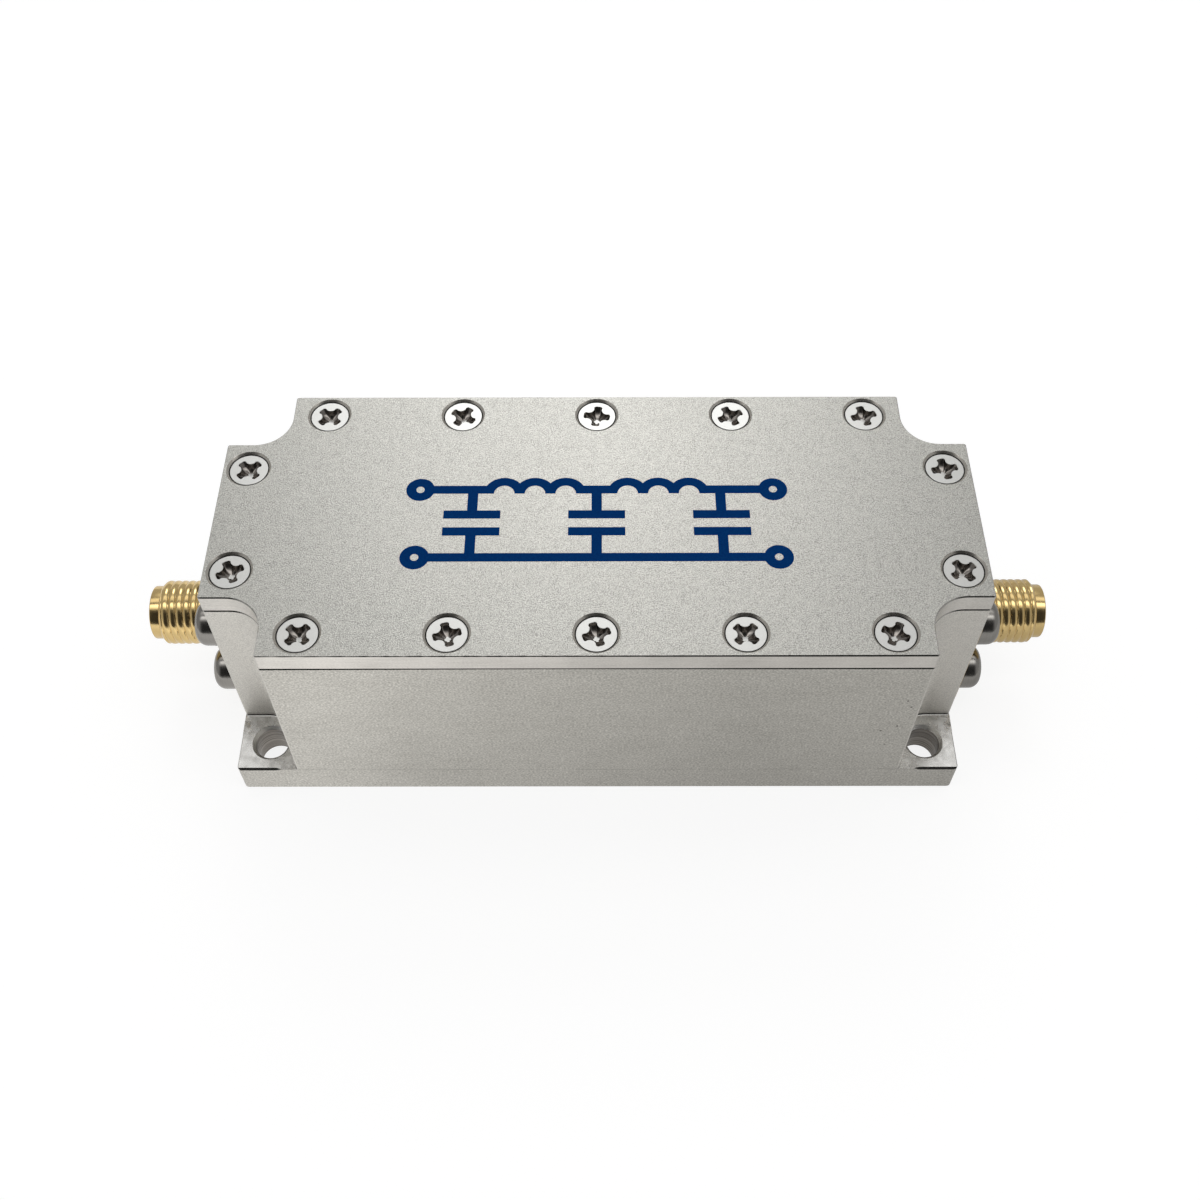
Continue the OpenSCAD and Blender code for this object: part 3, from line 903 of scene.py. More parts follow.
@dataclass
class Lid(Layout):
    """Flat blasted lid with countersunk holes and the printed sign."""

    thickness: float = 2.0
    hole_d: float = 2.2
    sink_d: float = 4.16
    sink_lip: float = 0.02
    gap_d: float = 3.78
    hole_steps: int = 64
    front_steps: int = 120
    filed_x: Flat = (-27.0, 21.0)
    emblem: Emblem = field(default_factory=Emblem)

    def outline(self, inset: float) -> list[Flat]:
        """Notched outline, pulled in on all sides, with points along the front.

        Args:
            inset: Distance from the full outline.

        Returns:
            The closed outline.
        """
        a, b = self.length / 2, self.width / 2
        x, y, e, r = a - self.notch_l, b - self.notch_w, self.edge_r, self.notch_r
        section = arc((a - e, y - e), e - inset, 0, 90, 4)
        section += arc((x + r, y + r), r + inset, 270, 180, 22)
        section += arc((x - e, b - e), e - inset, 0, 90, 4)
        outline = quarters(section)
        end = outline.index(min(outline, key=lambda q: (q[1], q[0]))) + 1
        reach, steps = x - e, self.front_steps
        front = [(-reach + 2 * reach * i / steps, inset - b) for i in range(1, steps)]
        return outline[:end] + front + outline[end:]

    def broken(self, place: Flat) -> float:
        """Width of the broken edge: the front one was filed by hand, thin and uneven at the left.

        Args:
            place: Where on the lid's outline.

        Returns:
            The width.
        """
        x, y = place
        if y > 0.1 - self.width / 2:
            return self.rim_r
        left, right = self.filed_x
        share = min(max((x - left) / (right - left), 0.0), 1.0)
        # Half as wide at the left as at the right, with two waves that don't repeat together
        return self.rim_r * (0.5 + 0.6 * share + 0.3 * (1 - share) * sin(4.7 * x) * sin(1.9 * x + 1.0))

    def rim(self, inset: float, top: float) -> list[Point]:
        """Ring of the upper face's broken edge.

        Args:
            inset: Its distance from the full outline: 0 for the ring at the outer side.
            top: Height of the upper face.

        Returns:
            The ring's points.
        """
        ring = []
        for (x, y), (_, outer) in zip(self.outline(inset), self.outline(0.0)):
            wide = self.broken((x, outer))
            front = outer < 0.01 - self.width / 2
            ring.append((x, outer + wide if front else y, top) if inset else (x, y, top - wide))
        return ring

    def build(self) -> None:
        """Builds and dresses the lid."""
        form = Form()
        low, top, rim = self.height, self.height + self.thickness, self.rim_r
        walls = [form.level(self.outline(rim), low), form.level(self.outline(0.0), low + rim),
                 form.ring(self.rim(0.0, top)), form.ring(self.rim(rim, top))]
        form.stack(walls, EDGE_POLISHED, LID_SIDE, EDGE_POLISHED)
        cone, gap, lip = (self.sink_d - self.hole_d) / 2, (self.sink_d - self.gap_d) / 2, self.sink_lip
        steps = ((self.hole_d, low), (self.hole_d, top - cone), (self.gap_d, top - gap),
                 (self.sink_d - 2 * lip, top - lip), (self.sink_d + lip, top))
        holes = [[form.level(circle(place, d / 2, self.hole_steps), z) for d, z in steps]
                 for place in self.screw_places()]
        for hole in holes:
            # The cone below each head's edge takes painted shade: a black ring round the head
            form.stack(hole, GAP_PAINTED_SHADE, GAP_PAINTED_SHADE, SINK_CUT)
        form.cap([walls[0], *(hole[0] for hole in holes)], LID_BLASTED)
        form.cap([walls[-1], *(hole[-1] for hole in holes)], LID_BLASTED, marks=self.emblem.outlines(), ink=NAVY_INK)
        finishes = [LID_BLASTED, NAVY_INK, LID_SIDE, EDGE_POLISHED, SINK_CUT, GAP_PAINTED_SHADE]
        mount(shade(form.piece("lid_plate", finishes)), "lid")


@dataclass
class Housing(Layout):
    """Milled block: four notches above low ears, a cavity, jack seats and tapped holes."""

    ear_h: float = 3.7
    foot_r: float = 0.16
    corner_r: float = 0.42
    base_chamfer: float = 0.06
    chamfer_long: float = 0.2
    chamfer_short: float = 0.1
    lift_long: float = 31.4  # where the chamfering tool was lifted, from the middle
    lift_short: float = 11.3
    cone_r: float = 1.5  # of that tool, at the ears' face
    notch_rim: float = 0.14
    corner_cut: Flat = (1.18, 0.21)  # how far the notches' cutter goes past the roundings beside it
    hole_d: float = 3.2
    hole_inset: float = 3.0
    hole_chamfer: float = 0.3
    hole_lip: float = 0.08
    hole_steps: int = 72
    wall: float = 4.8
    notch_wall: float = 2.8
    floor: float = 6.515
    cavity_r: float = 1.5
    outside_x: float = 36.0
    seat_half: float = 6.45
    bore_x: Flat = (29.2, 35.5)
    bore_steps: int = 48
    tap_r: float = 1.03
    tap_steps: int = 32
    lid_tap_z: Flat = (17.25, 23.25)
    board_tap_z: Flat = (3.515, 7.515)
    board_screws: Flat = (18.6, 7.9)
    flange_tap_r: float = 1.28
    flange_tap_x: Flat = (29.65, 36.0)
    board_top: float = 8.115
    slots_x: tuple[float, ...] = (-12.4, 0.0, 12.4)
    slot_half: Flat = (0.45, 11.0)
    front_steps: int = 100
    front_rim: tuple[Flat, ...] = (
        (-30.0, 0.17), (-25.0, 0.14), (-20.0, 0.11), (-12.0, 0.075), (-7.0, 0.055), (0.0, 0.05), (4.0, 0.08),
        (9.0, 0.09), (13.0, 0.115), (20.0, 0.12), (25.0, 0.14), (30.0, 0.15))

    def broken(self, x: float) -> float:
        """Width of the front's broken upper edge: filed by hand, and widest at the ends.

        Args:
            x: Place along the front.

        Returns:
            The width.
        """
        for (x0, w0), (x1, w1) in zip(self.front_rim, self.front_rim[1:]):
            if x <= x1:
                return w0 + (w1 - w0) * max(x - x0, 0.0) / (x1 - x0)
        return self.front_rim[-1][1]

    def block_ring(self, inset: float, z: float) -> list[Point]:
        """Ring of the plain block, with points along the front.

        Args:
            inset: Distance from the full block.
            z: Height; at the upper edge the front follows its own uneven width.

        Returns:
            The closed ring, counter-clockwise.
        """
        a, b, rim, top = self.length / 2, self.width / 2, self.rim_r, self.height
        outline = rounded(a - inset, b - inset, self.corner_r - inset)
        ring = [(x, y, z) for x, y in outline]
        reach = a - self.corner_r
        front = []
        for i in range(1, self.front_steps):
            x = -reach + 2 * reach * i / self.front_steps
            wide = self.broken(x)
            if z == top:
                front.append((x, wide - b, top))
            else:
                front.append((x, inset - b, top - wide if z == top - rim else z))
        cut = 3 * len(outline) // 4
        return ring[:cut] + front + ring[cut:]

    def block(self) -> Form:
        """Plain block with a chamfered base and a broken rim.

        Returns:
            Its shell.
        """
        form = Form()
        rim, top, base = self.rim_r, self.height, self.base_chamfer
        steps = ((base, 0.0), (0.0, base), (0.0, top - rim), (rim, top))
        # The base chamfer takes painted shade: a dark line along the floor
        form.solid([form.ring(self.block_ring(inset, z)) for inset, z in steps],
                   BASE_EDGE_PAINTED_SHADE, SIDE_GROUND, EDGE_POLISHED, ends=(SIDE_GROUND, SIDE_GROUND))
        return form

    def notch_section(self, grow: float) -> list[Flat]:
        """Plan of one notch, with the roundings that it leaves on the upright edges beside it.

        Args:
            grow: How far the metal stands proud of the full notch.

        Returns:
            Closed outline in the first quarter, reaching outside the block.
        """
        a, b, e, r = self.length / 2, self.width / 2, self.edge_r, self.notch_r
        x, y = a - self.notch_l, b - self.notch_w
        far_x, far_y, (out, rise) = a + 3, b + 3, self.corner_cut
        first = arc((x + grow - e, b - e), e, 80, 0, 5)
        last = arc((a - e, y + grow - e), e, 90, 10, 5)
        near_x, near_y = first[0][0] - out, last[-1][1] - out
        return [(near_x, far_y), (near_x, first[0][1] + rise), *first, *arc((x + r, y + r), r - grow, 180, 270, 24),
                *last, (last[-1][0] + rise, near_y), (far_x, near_y), (far_x, far_y)]

    def notches(self) -> Form:
        """Cutter of the four notches, round at the foot and flared at the rim.

        Returns:
            Its shell.
        """
        form = Form()
        foot, rim, top, past, turns = self.foot_r, self.notch_rim, self.height, 0.25, range(0, 91, 18)
        steps = [(foot * (1 - sin(radians(t))), self.ear_h + foot * (1 - cos(radians(t)))) for t in turns]
        steps += [(0.0, top - rim), (-rim - past, top + past)]
        for sx, sy in QUARTERS:
            form.solid([form.level([(sx * x, sy * y) for x, y in self.notch_section(d)], z) for d, z in steps],
                       *[EDGE_POLISHED] * (len(turns) - 1), NOTCH_FLANK, EDGE_POLISHED,
                       ends=(EAR_MILLED, NOTCH_FLANK))
        return form

    def ear_chamfers(self, short: bool) -> Form:
        """Cutter of the chamfers on the ears' outer edges; each fades where the cone-shaped tool was lifted.

        Args:
            short: Whether the short ends are cut, or else the long sides.

        Returns:
            Four tool paths.
        """
        form = Form()
        size, stop = (self.chamfer_short, self.lift_short) if short else (self.chamfer_long, self.lift_long)
        along, across = (self.width, self.length) if short else (self.length, self.width)
        reach, axis = along / 2 + 2, across / 2 + self.cone_r - size
        for su, sv in QUARTERS:
            rings = []
            for rise in (-0.5, 0.2):
                r = self.cone_r + rise
                path = [(reach, axis - r), *arc((stop, axis), r, 270, 90, 24), (reach, axis + r)]
                flat = [(sv * v, su * u) if short else (su * u, sv * v) for u, v in path]
                rings.append(form.level(flat, self.ear_h + rise))
            form.solid(rings, EDGE_POLISHED)
        return form

    def ear_holes(self) -> Form:
        """Cutter of the mounting holes with their chamfered mouths.

        Returns:
            Its shell.
        """
        form = Form()
        r, c, h, lip, past = self.hole_d / 2, self.hole_chamfer, self.ear_h, self.hole_lip, 0.3
        profile = ((r + lip + 1.0, -1.0), (r, lip), (r, h - c), (r + c + past, h + past))
        x, y = self.length / 2 - self.hole_inset, self.width / 2 - self.hole_inset
        for sx, sy in QUARTERS:
            form.solid([form.level(circle((sx * x, sy * y), q, self.hole_steps), z) for q, z in profile],
                       HOLE_BORED, HOLE_BORED, CHAMFER_CHATTERED, ends=(HOLE_BORED, HOLE_BORED))
        return form

    def cavity(self) -> Form:
        """Cutter of the cavity, which steps in at the notches.

        Returns:
            Its shell.
        """
        form = Form()
        a, b, r = self.length / 2 - self.wall, self.width / 2 - self.wall, self.cavity_r
        x, y = a + self.wall - self.notch_l - self.notch_wall, b + self.wall - self.notch_w - self.notch_wall
        section = arc((a - r, y - r), r, 0, 90, 8) + [(x, y)] + arc((x - r, b - r), r, 0, 90, 8)
        form.solid([form.level(quarters(section), z) for z in (self.floor, self.height + 1)], NOTCH_FLANK)
        return form

    def along(self, form: Form, middle: Flat, radius: float, ends: Flat, side: int) -> None:
        """Adds a rod that runs along the jacks, at the input's side for -1 and the output's for 1."""
        form.rod(middle, radius, sorted(side * x for x in ends), self.bore_steps, HOLE_BORED, Plane.UPRIGHT)

    def taps(self) -> Form:
        """Cutter of the tapped holes for the lid, the board and the flanges.

        Returns:
            Its shell.
        """
        form = Form()
        for place in self.screw_places():
            form.rod(place, self.tap_r, self.lid_tap_z, self.tap_steps, HOLE_BORED)
        (x, y), off = self.board_screws, self.flange_offset
        for sx, sy in QUARTERS:
            form.rod((sx * x, sy * y), self.tap_r, self.board_tap_z, self.tap_steps, HOLE_BORED)
            for s in SIGNS:
                self.along(form, (s * off, self.axis_h + sx * off), self.flange_tap_r, self.flange_tap_x, sy)
        return form

    def shield_slots(self) -> Form:
        """Cutter of the slots that hold the shield walls.

        Returns:
            Its shell.
        """
        form = Form()
        w, l = self.slot_half
        for x in self.slots_x:
            form.box((x - w, -l, self.board_top), (x + w, l, self.height + 1), NOTCH_FLANK)
        return form

    def jack_seats(self) -> list[Form]:
        """Cutters of the flanges' square seats, and of the bores that the insulators pass through.

        Returns:
            Their shells.
        """
        seats, bores, half = Form(), Form(), self.seat_half
        for s in (1, -1):
            x0, x1 = sorted((s * self.seat_x, s * self.outside_x))
            seats.box((x0, -half, self.axis_h - half), (x1, half, self.axis_h + half), NOTCH_FLANK)
            self.along(bores, (0.0, self.axis_h), self.bead_r, self.bore_x, s)
        return [seats, bores]

    def build(self) -> None:
        """Cuts the block and dresses it."""
        finishes = [SIDE_GROUND, NOTCH_FLANK, HOLE_BORED, EDGE_POLISHED, EAR_MILLED, CHAMFER_CHATTERED, BASE_EDGE_PAINTED_SHADE]
        block = self.block().piece("housing_block", finishes)
        forms = [self.notches(), self.ear_chamfers(False), self.ear_chamfers(True), self.ear_holes(),
                 self.cavity(), self.taps(), self.shield_slots(), *self.jack_seats()]
        tools = [form.piece(f"cutter_{i}", finishes) for i, form in enumerate(forms)]
        for tool in tools:
            cut = block.modifiers.new(tool.name, "BOOLEAN")
            cut.operation, cut.solver, cut.object = "DIFFERENCE", "EXACT", tool
        settle(block)
        for tool in tools:
            bpy.data.meshes.remove(tool.data)
        mount(shade(block), "housing")


# ---------------------------------------------------------------- screws


class NodeTool:
    """Geometry Nodes tree with named inputs that makes a piece's mesh."""

    def __init__(self, name: str, kinds: Mapping[str, str]) -> None:
        """Starts the tree.

        Args:
            name: Name of the tree.
            kinds: Name and kind of each input after the geometry.
        """
        self.tree = bpy.data.node_groups.new(name, "GeometryNodeTree")
        new = self.tree.interface.new_socket
        new("Geometry", in_out="OUTPUT", socket_type="NodeSocketGeometry")
        self.keys = {label: new(label, in_out="INPUT", socket_type=f"NodeSocket{kind}").identifier
                     for label, kind in {"Geometry": "Geometry", **kinds}.items()}
        self.given = add(self.tree, "NodeGroupInput").outputs

    def run(self, piece: Object, values: Mapping[str, Any]) -> Object:
        """Runs the tree on a piece.

        Args:
            piece: Object whose mesh is the tree's geometry.
            values: Value of each named input.

        Returns:
            The same object with the result as its plain mesh.
        """
        running = piece.modifiers.new(self.tree.name, "NODES")
        running.node_group = self.tree
        for name, value in values.items():
            running[self.keys[name]] = value
        return settle(piece)


@dataclass
class CrossScrew:
    """Screw with a cross recess, its head's face at height 0 and its axis upright."""

    profile: tuple[Flat, ...]
    tip: float
    arm: float
    depth: float
    web: float = 0.76
    tip_r: float = 0.3
    flare: float = 1.12
    steps: int = 56
    taper: tuple[Point, ...] = (
        (1.0, 1.0, 0.0), (0.98, 0.97, 0.04), (0.9, 0.92, 0.36), (0.74, 0.8, 0.62), (0.46, 0.56, 0.86),
        (0.22, 0.28, 1.0))

    def cross(self, tip: float, arm: float) -> list[Flat]:
        """Outline of the recess at one depth.

        Args:
            tip: Distance from the axis to the end of an arm.
            arm: Width of an arm.

        Returns:
            Closed outline with rounded inner corners and tips.
        """
        half, inner, outer = arm / 2, arm * self.web, arm * self.tip_r
        wide, reach = half * self.flare, half + inner
        part = arc((reach, -reach), inner, 180, 90, 6)
        part += arc((tip - outer, -wide + outer), outer, -90, 0, 3) + arc((tip - outer, wide - outer), outer, 0, 90, 3)
        turns = ((1, 0), (0, 1), (-1, 0), (0, -1))
        return [(cx * x - cy * y, cy * x + cx * y) for cx, cy in turns for x, y in part]

    def template(self) -> Object:
        """Builds one screw.

        Returns:
            The screw at the origin; region 1 is the side of the recess, and its floor has the head's plating.
        """
        form = Form()
        outer = [form.level(circle((0, 0), r, self.steps), z) for r, z in self.profile]
        form.stack(outer, SCREW_NICKEL)
        form.cap([outer[-1]], SCREW_NICKEL)
        inner = [form.level(self.cross(self.tip * t, self.arm * w), -self.depth * d) for t, w, d in self.taper]
        form.cap([outer[0], inner[0]], SCREW_NICKEL)
        # The recess walls below the rim take painted shade
        form.stack(inner, SCREW_NICKEL, SCREW_RECESS_PAINTED_SHADE)
        form.cap([inner[-1]], SCREW_NICKEL)
        return shade(form.piece("screw", [SCREW_NICKEL, SCREW_RECESS_PAINTED_SHADE]))


class ScrewSetter(NodeTool):
    """Drives one screw into each of a set of places, each at a turn of its own."""

    def __init__(self) -> None:
        """Builds the tree with its named inputs."""
        super().__init__("Screw setting", {
            "Screw": "Object", "Axis": "Vector", "Head": "Material", "Recess": "Material"})
        tree, given = self.tree, self.given
        screw = add(tree, "GeometryNodeObjectInfo", {"Object": given["Screw"]}).outputs["Geometry"]
        turn = add(tree, "GeometryNodeInputNamedAttribute", {"Name": "turn"}, data_type="FLOAT")
        spin = add(tree, "FunctionNodeAxisAngleToRotation", {"Axis": (0, 0, 1), "Angle": turn})
        aim = add(tree, "FunctionNodeAlignRotationToVector", {"Vector": given["Axis"]}, axis="Z")
        both = add(tree, "FunctionNodeRotateRotation", (aim, spin), rotation_space="LOCAL")
        placed = add(tree, "GeometryNodeInstanceOnPoints", {
            "Points": given["Geometry"], "Instance": screw, "Rotation": both})
        real = add(tree, "GeometryNodeRealizeInstances", (placed,))
        region = add(tree, "GeometryNodeInputNamedAttribute", {"Name": "region"}, data_type="INT")
        punched = add(tree, "FunctionNodeCompare", {2: region, 3: 1}, data_type="INT", operation="EQUAL")
        whole = add(tree, "GeometryNodeSetMaterial", {"Geometry": real, "Material": given["Head"]})
        done = add(tree, "GeometryNodeSetMaterial", {
            "Geometry": whole, "Selection": punched, "Material": given["Recess"]})
        add(tree, "NodeGroupOutput", (done,))

    def drive(self, name: str, screw: CrossScrew, places: Sequence[Point], turns: Sequence[float],
              axis: Point, head: Finish) -> Object:
        """Sets screws of one kind.

        Args:
            name: Name of the finished piece.
            screw: The screw to repeat.
            places: Middle of each head's face.
            turns: Turn of each recess, in degrees.
            axis: Direction in which the heads face.
            head: Finish of the screws.

        Returns:
            All the screws as one plain mesh.
        """
        data = bpy.data.meshes.new(name)
        data.from_pydata([(x * MM, y * MM, z * MM) for x, y, z in places], [], [])
        data.attributes.new("turn", "FLOAT", "POINT").data.foreach_set("value", [radians(t) for t in turns])
        template = screw.template()
        piece = self.run(put(name, data), {
            "Screw": template, "Axis": axis, "Head": head.material(), "Recess": SCREW_RECESS_PAINTED_SHADE.material()})
        bpy.data.meshes.remove(template.data)
        return piece


@dataclass
class LidScrews(Layout):
    """Fourteen countersunk screws, sunk a little below the lid."""

    face: float = 23.79
    turns: tuple[float, ...] = (47, 15, 18, 47, 64, 46, 58, 82, 26, 15, 25, 44, 33, 11)
    screw: CrossScrew = field(default_factory=lambda: CrossScrew(
        ((1.76, 0.0), (1.78, -0.012), (1.785, -0.04), (1.77, -0.1), (1.0, -0.84), (1.0, -6.0)), 1.27, 0.73, 0.8))

    def build(self, setter: ScrewSetter) -> None:
        """Builds, sets and dresses the screws.

        Args:
            setter: Tree that sets them.
        """
        places = [(x, y, self.face) for x, y in self.screw_places()]
        piece = setter.drive("lid_screw_set", self.screw, places, self.turns, (0.0, 0.0, 1.0), SCREW_NICKEL)
        mount(piece, "lid_screws")


@dataclass
class FlangeScrews(Layout):
    """Four pan-head screws of one flange."""

    end: End = End.INPUT
    reach: float = 38.35
    dome_r: float = 1.0
    crown_r: float = 1.2
    turns: tuple[float, ...] = (15, 58, 40, 77)

    def build(self, setter: ScrewSetter) -> None:
        """Builds, sets and dresses the screws.

        Args:
            setter: Tree that sets them.
        """
        dome = arc((self.crown_r, -self.dome_r), self.dome_r, 90, 0, 6)
        screw = CrossScrew((*dome, (2.2, -2.04), (2.15, -2.1), (1.25, -2.1), (1.25, -8.1)), 1.17, 0.66, 1.1)
        side, name, off = self.end.value, self.end.name.lower(), self.flange_offset
        places = [(side * self.reach, y * off, self.axis_h + z * off) for y, z in QUARTERS]
        piece = setter.drive(f"{name}_flange_screw_set", screw, places, self.turns, (float(side), 0.0, 0.0),
                             HEAD_STAINLESS)
        mount(piece, f"{name}_flange_screws")


# ---------------------------------------------------------------- jacks


class ThreadCutter(NodeTool):
    """Sinks a screw thread into the turned barrels of the jacks."""

    SIZES = ("Pitch", "Depth", "Outer radius", "Start", "Stop", "Axis height")
    SUMS = (
        ("height", "SUBTRACT", "z", "Axis height"),
        ("angle", "ARCTAN2", "height", "y"),
        ("turn", "DIVIDE", "angle", 2 * pi),
        ("phase", "DIVIDE", "x", "Pitch"),
        ("phase", "SUBTRACT", "phase", "turn"),
        ("phase", "FRACT", "phase"),
        ("aside", "SUBTRACT", "phase", 0.5),
        ("aside", "ABSOLUTE", "aside"),
        ("aside", "MULTIPLY", "aside", 2.0),
        ("sunk", "POWER", "aside", 2.0),
        ("sunk", "MULTIPLY", "sunk", "Depth"),
        ("wide", "MULTIPLY", "y", "y"),
        ("high", "MULTIPLY", "height", "height"),
        ("radius", "ADD", "wide", "high"),
        ("radius", "SQRT", "radius"),
        ("share", "SUBTRACT", "Outer radius", "sunk"),
        ("share", "DIVIDE", "share", "radius"),
        ("share", "MINIMUM", "share", 1.0),
        ("new y", "MULTIPLY", "y", "share"),
        ("new z", "MULTIPLY", "height", "share"),
        ("new z", "ADD", "new z", "Axis height"),
        ("far", "ABSOLUTE", "x"),
        ("past", "GREATER_THAN", "far", "Start"),
        ("short", "LESS_THAN", "far", "Stop"),
        ("on", "MULTIPLY", "past", "short"))

    def __init__(self) -> None:
        """Builds the tree with its named inputs."""
        super().__init__("Thread cutting", {**dict.fromkeys(self.SIZES, "Float"), "Finish": "Material"})
        tree, given = self.tree, self.given
        place = add(tree, "ShaderNodeSeparateXYZ", (add(tree, "GeometryNodeInputPosition"),)).outputs
        known = {**dict(zip("xyz", place)), **{name: given[name] for name in self.SIZES}}
        for name, operation, *terms in self.SUMS:
            known[name] = add(tree, MATH, [known.get(term, term) for term in terms], operation=operation)
        moved = add(tree, "ShaderNodeCombineXYZ", (known["x"], known["new y"], known["new z"]))
        cut = add(tree, "GeometryNodeSetPosition", {
            "Geometry": given["Geometry"], "Selection": known["on"], "Position": moved})
        real = add(tree, "GeometryNodeRealizeInstances", (cut,))
        done = add(tree, "GeometryNodeSetMaterial", {"Geometry": real, "Material": given["Finish"]})
        add(tree, "NodeGroupOutput", (done,))


@dataclass
class JackShell(Layout):
    """Square flange, neck, threaded barrel and nose of one jack in one turned piece."""

    end: End = End.INPUT
    flange_w: float = 12.7
    flange_t: float = 1.65
    flange_edge: float = 0.08
    flange_r: float = 0.25
    screw_hole_r: float = 1.35
    neck_r: float = 2.75
    fillet_r: float = 0.15
    thread_r: float = 3.175
    thread_from: float = 3.6
    thread_to: float = 8.5
    thread_chamfer: float = 0.3
    pitch: float = 0.7056
    depth: float = 0.13
    nose_r: float = 2.65
    nose_step: float = 0.06
    nose_edge: float = 0.1
    reach: float = 9.5
    mouth_r: float = 2.3
    mouth_depth: float = 1.9
    mouth_lip: tuple[Flat, ...] = ((0.0, 0.12), (0.05, 0.05), (0.15, 0.0))  # depth, and how much wider
    sides: int = 96
    rings_per_pitch: int = 18

    def profile(self) -> list[Flat]:
        """Distance from the seat and radius of each ring, from the flange to the bead's bore.

        Returns:
            The rings in order, down the outside and back up the inside.
        """
        t0, t1, c, f = self.thread_from, self.thread_to, self.thread_chamfer, self.fillet_r
        rings = arc((self.flange_t + f, self.neck_r + f), f, 180, 270, 4)
        rings += [(t0, self.neck_r), (t0, self.thread_r - c), (t0 + c, self.thread_r)]
        run = t1 - t0 - 2 * c
        count = round(run / self.pitch * self.rings_per_pitch)
        rings += [(t0 + c + run * i / count, self.thread_r) for i in range(1, count)]
        rings += [(t1 - c + c * i / 5, self.thread_r - c * i / 5) for i in range(6)]
        nose, step, edge, inner = self.nose_r, self.nose_step, self.nose_edge, self.reach - self.mouth_depth
        rings += [(t1, nose + step), (t1 + step, nose)]
        rings += arc((self.reach - edge, nose - edge), edge, 90, 0, 4)
        rings += [(self.reach - deep, self.mouth_r + wider) for deep, wider in self.mouth_lip]
        return rings + [(inner, self.mouth_r), (inner, self.bead_r), (0.0, self.bead_r)]

    def ring(self, form: Form, outline: Iterable[Flat], u: float) -> Ring:
        """Adds a ring square to the axis, turned round with the whole jack at the input end."""
        side = self.end.value
        return form.ring((side * (self.seat_x + u), side * v, self.axis_h + w) for v, w in outline)

    def build(self, cutter: ThreadCutter) -> None:
        """Builds and dresses the shell.

        Args:
            cutter: Tree that cuts its thread.
        """
        form = Form()
        half, edge, face = self.flange_w / 2, self.flange_edge, self.flange_t
        steps = ((edge, 0.0), (0.3 * edge, 0.3 * edge), (0.0, edge), (0.0, face - edge),
                 (0.3 * edge, face - 0.3 * edge), (edge, face))
        rim = [self.ring(form, rounded(half - d, half - d, self.flange_r), u) for d, u in steps]
        form.stack(rim, GOLD_PLATED)
        places = [(y * self.flange_offset, z * self.flange_offset) for y, z in QUARTERS]
        holes = [[self.ring(form, circle(p, self.screw_hole_r, 32), u) for u in (0.0, face)] for p in places]
        for hole in holes:
            form.stack(hole, GOLD_PLATED)
        barrel = [self.ring(form, circle((0, 0), r, self.sides), u) for u, r in self.profile()]
        form.stack(barrel, GOLD_PLATED)
        for rings in ([rim[0], barrel[-1], *(hole[0] for hole in holes)],
                      [rim[-1], barrel[0], *(hole[1] for hole in holes)]):
            form.cap(rings, GOLD_PLATED, Plane.UPRIGHT)
        name = self.end.name.lower()
        sizes = (self.pitch, self.depth, self.thread_r, self.seat_x + self.thread_from - 0.01,
                 self.seat_x + self.thread_to + 0.01, self.axis_h)
        piece = cutter.run(form.piece(f"{name}_jack_turned", [GOLD_PLATED]), {
            **{label: size * MM for label, size in zip(cutter.SIZES, sizes)}, "Finish": GOLD_PLATED.material()})
        mount(shade(piece, crease=40.0), f"{name}_jack_shell")


# ---------------------------------------------------------------- inside


@dataclass
class Inside:
    """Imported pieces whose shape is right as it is; each gets the finish of the real one."""

    finishes: dict[str, Finish] = field(default_factory=lambda: {
        "insulator": BEAD_PTFE, "contact": GOLD_CONTACT, "circuit_board": BOARD_RESIST,
        "copper_tracks": PAD_TINNED, "board_screws": SCREW_NICKEL, "coil": WIRE_ENAMEL,
        "capacitor": CHIP_CERAMIC, "shield_wall": WALL_BRASS})

    def dress(self) -> None:
        """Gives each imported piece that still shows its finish."""
        for name, piece in sorted(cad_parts.items()):
            if piece.hide_render:
                continue
            finish = next(f for key, f in self.finishes.items() if key in name)
            piece.data.materials.clear()
            piece.data.materials.append(finish.material())
            LOG.info("%s: %s", name, finish.name)


# ---------------------------------------------------------------- studio


def set_stops(band: ColorRamp, stops: Sequence[Flat]) -> None:
    """Gives a ramp its stops of grey.

    Args:
        band: The ramp.
        stops: Place and brightness of each stop, in order.
    """
    while len(band.elements) < len(stops):
        band.elements.new(0.5)
    for element, (place, value) in zip(band.elements, stops):
        element.position = place
        element.color = (value, value, value, 1.0)


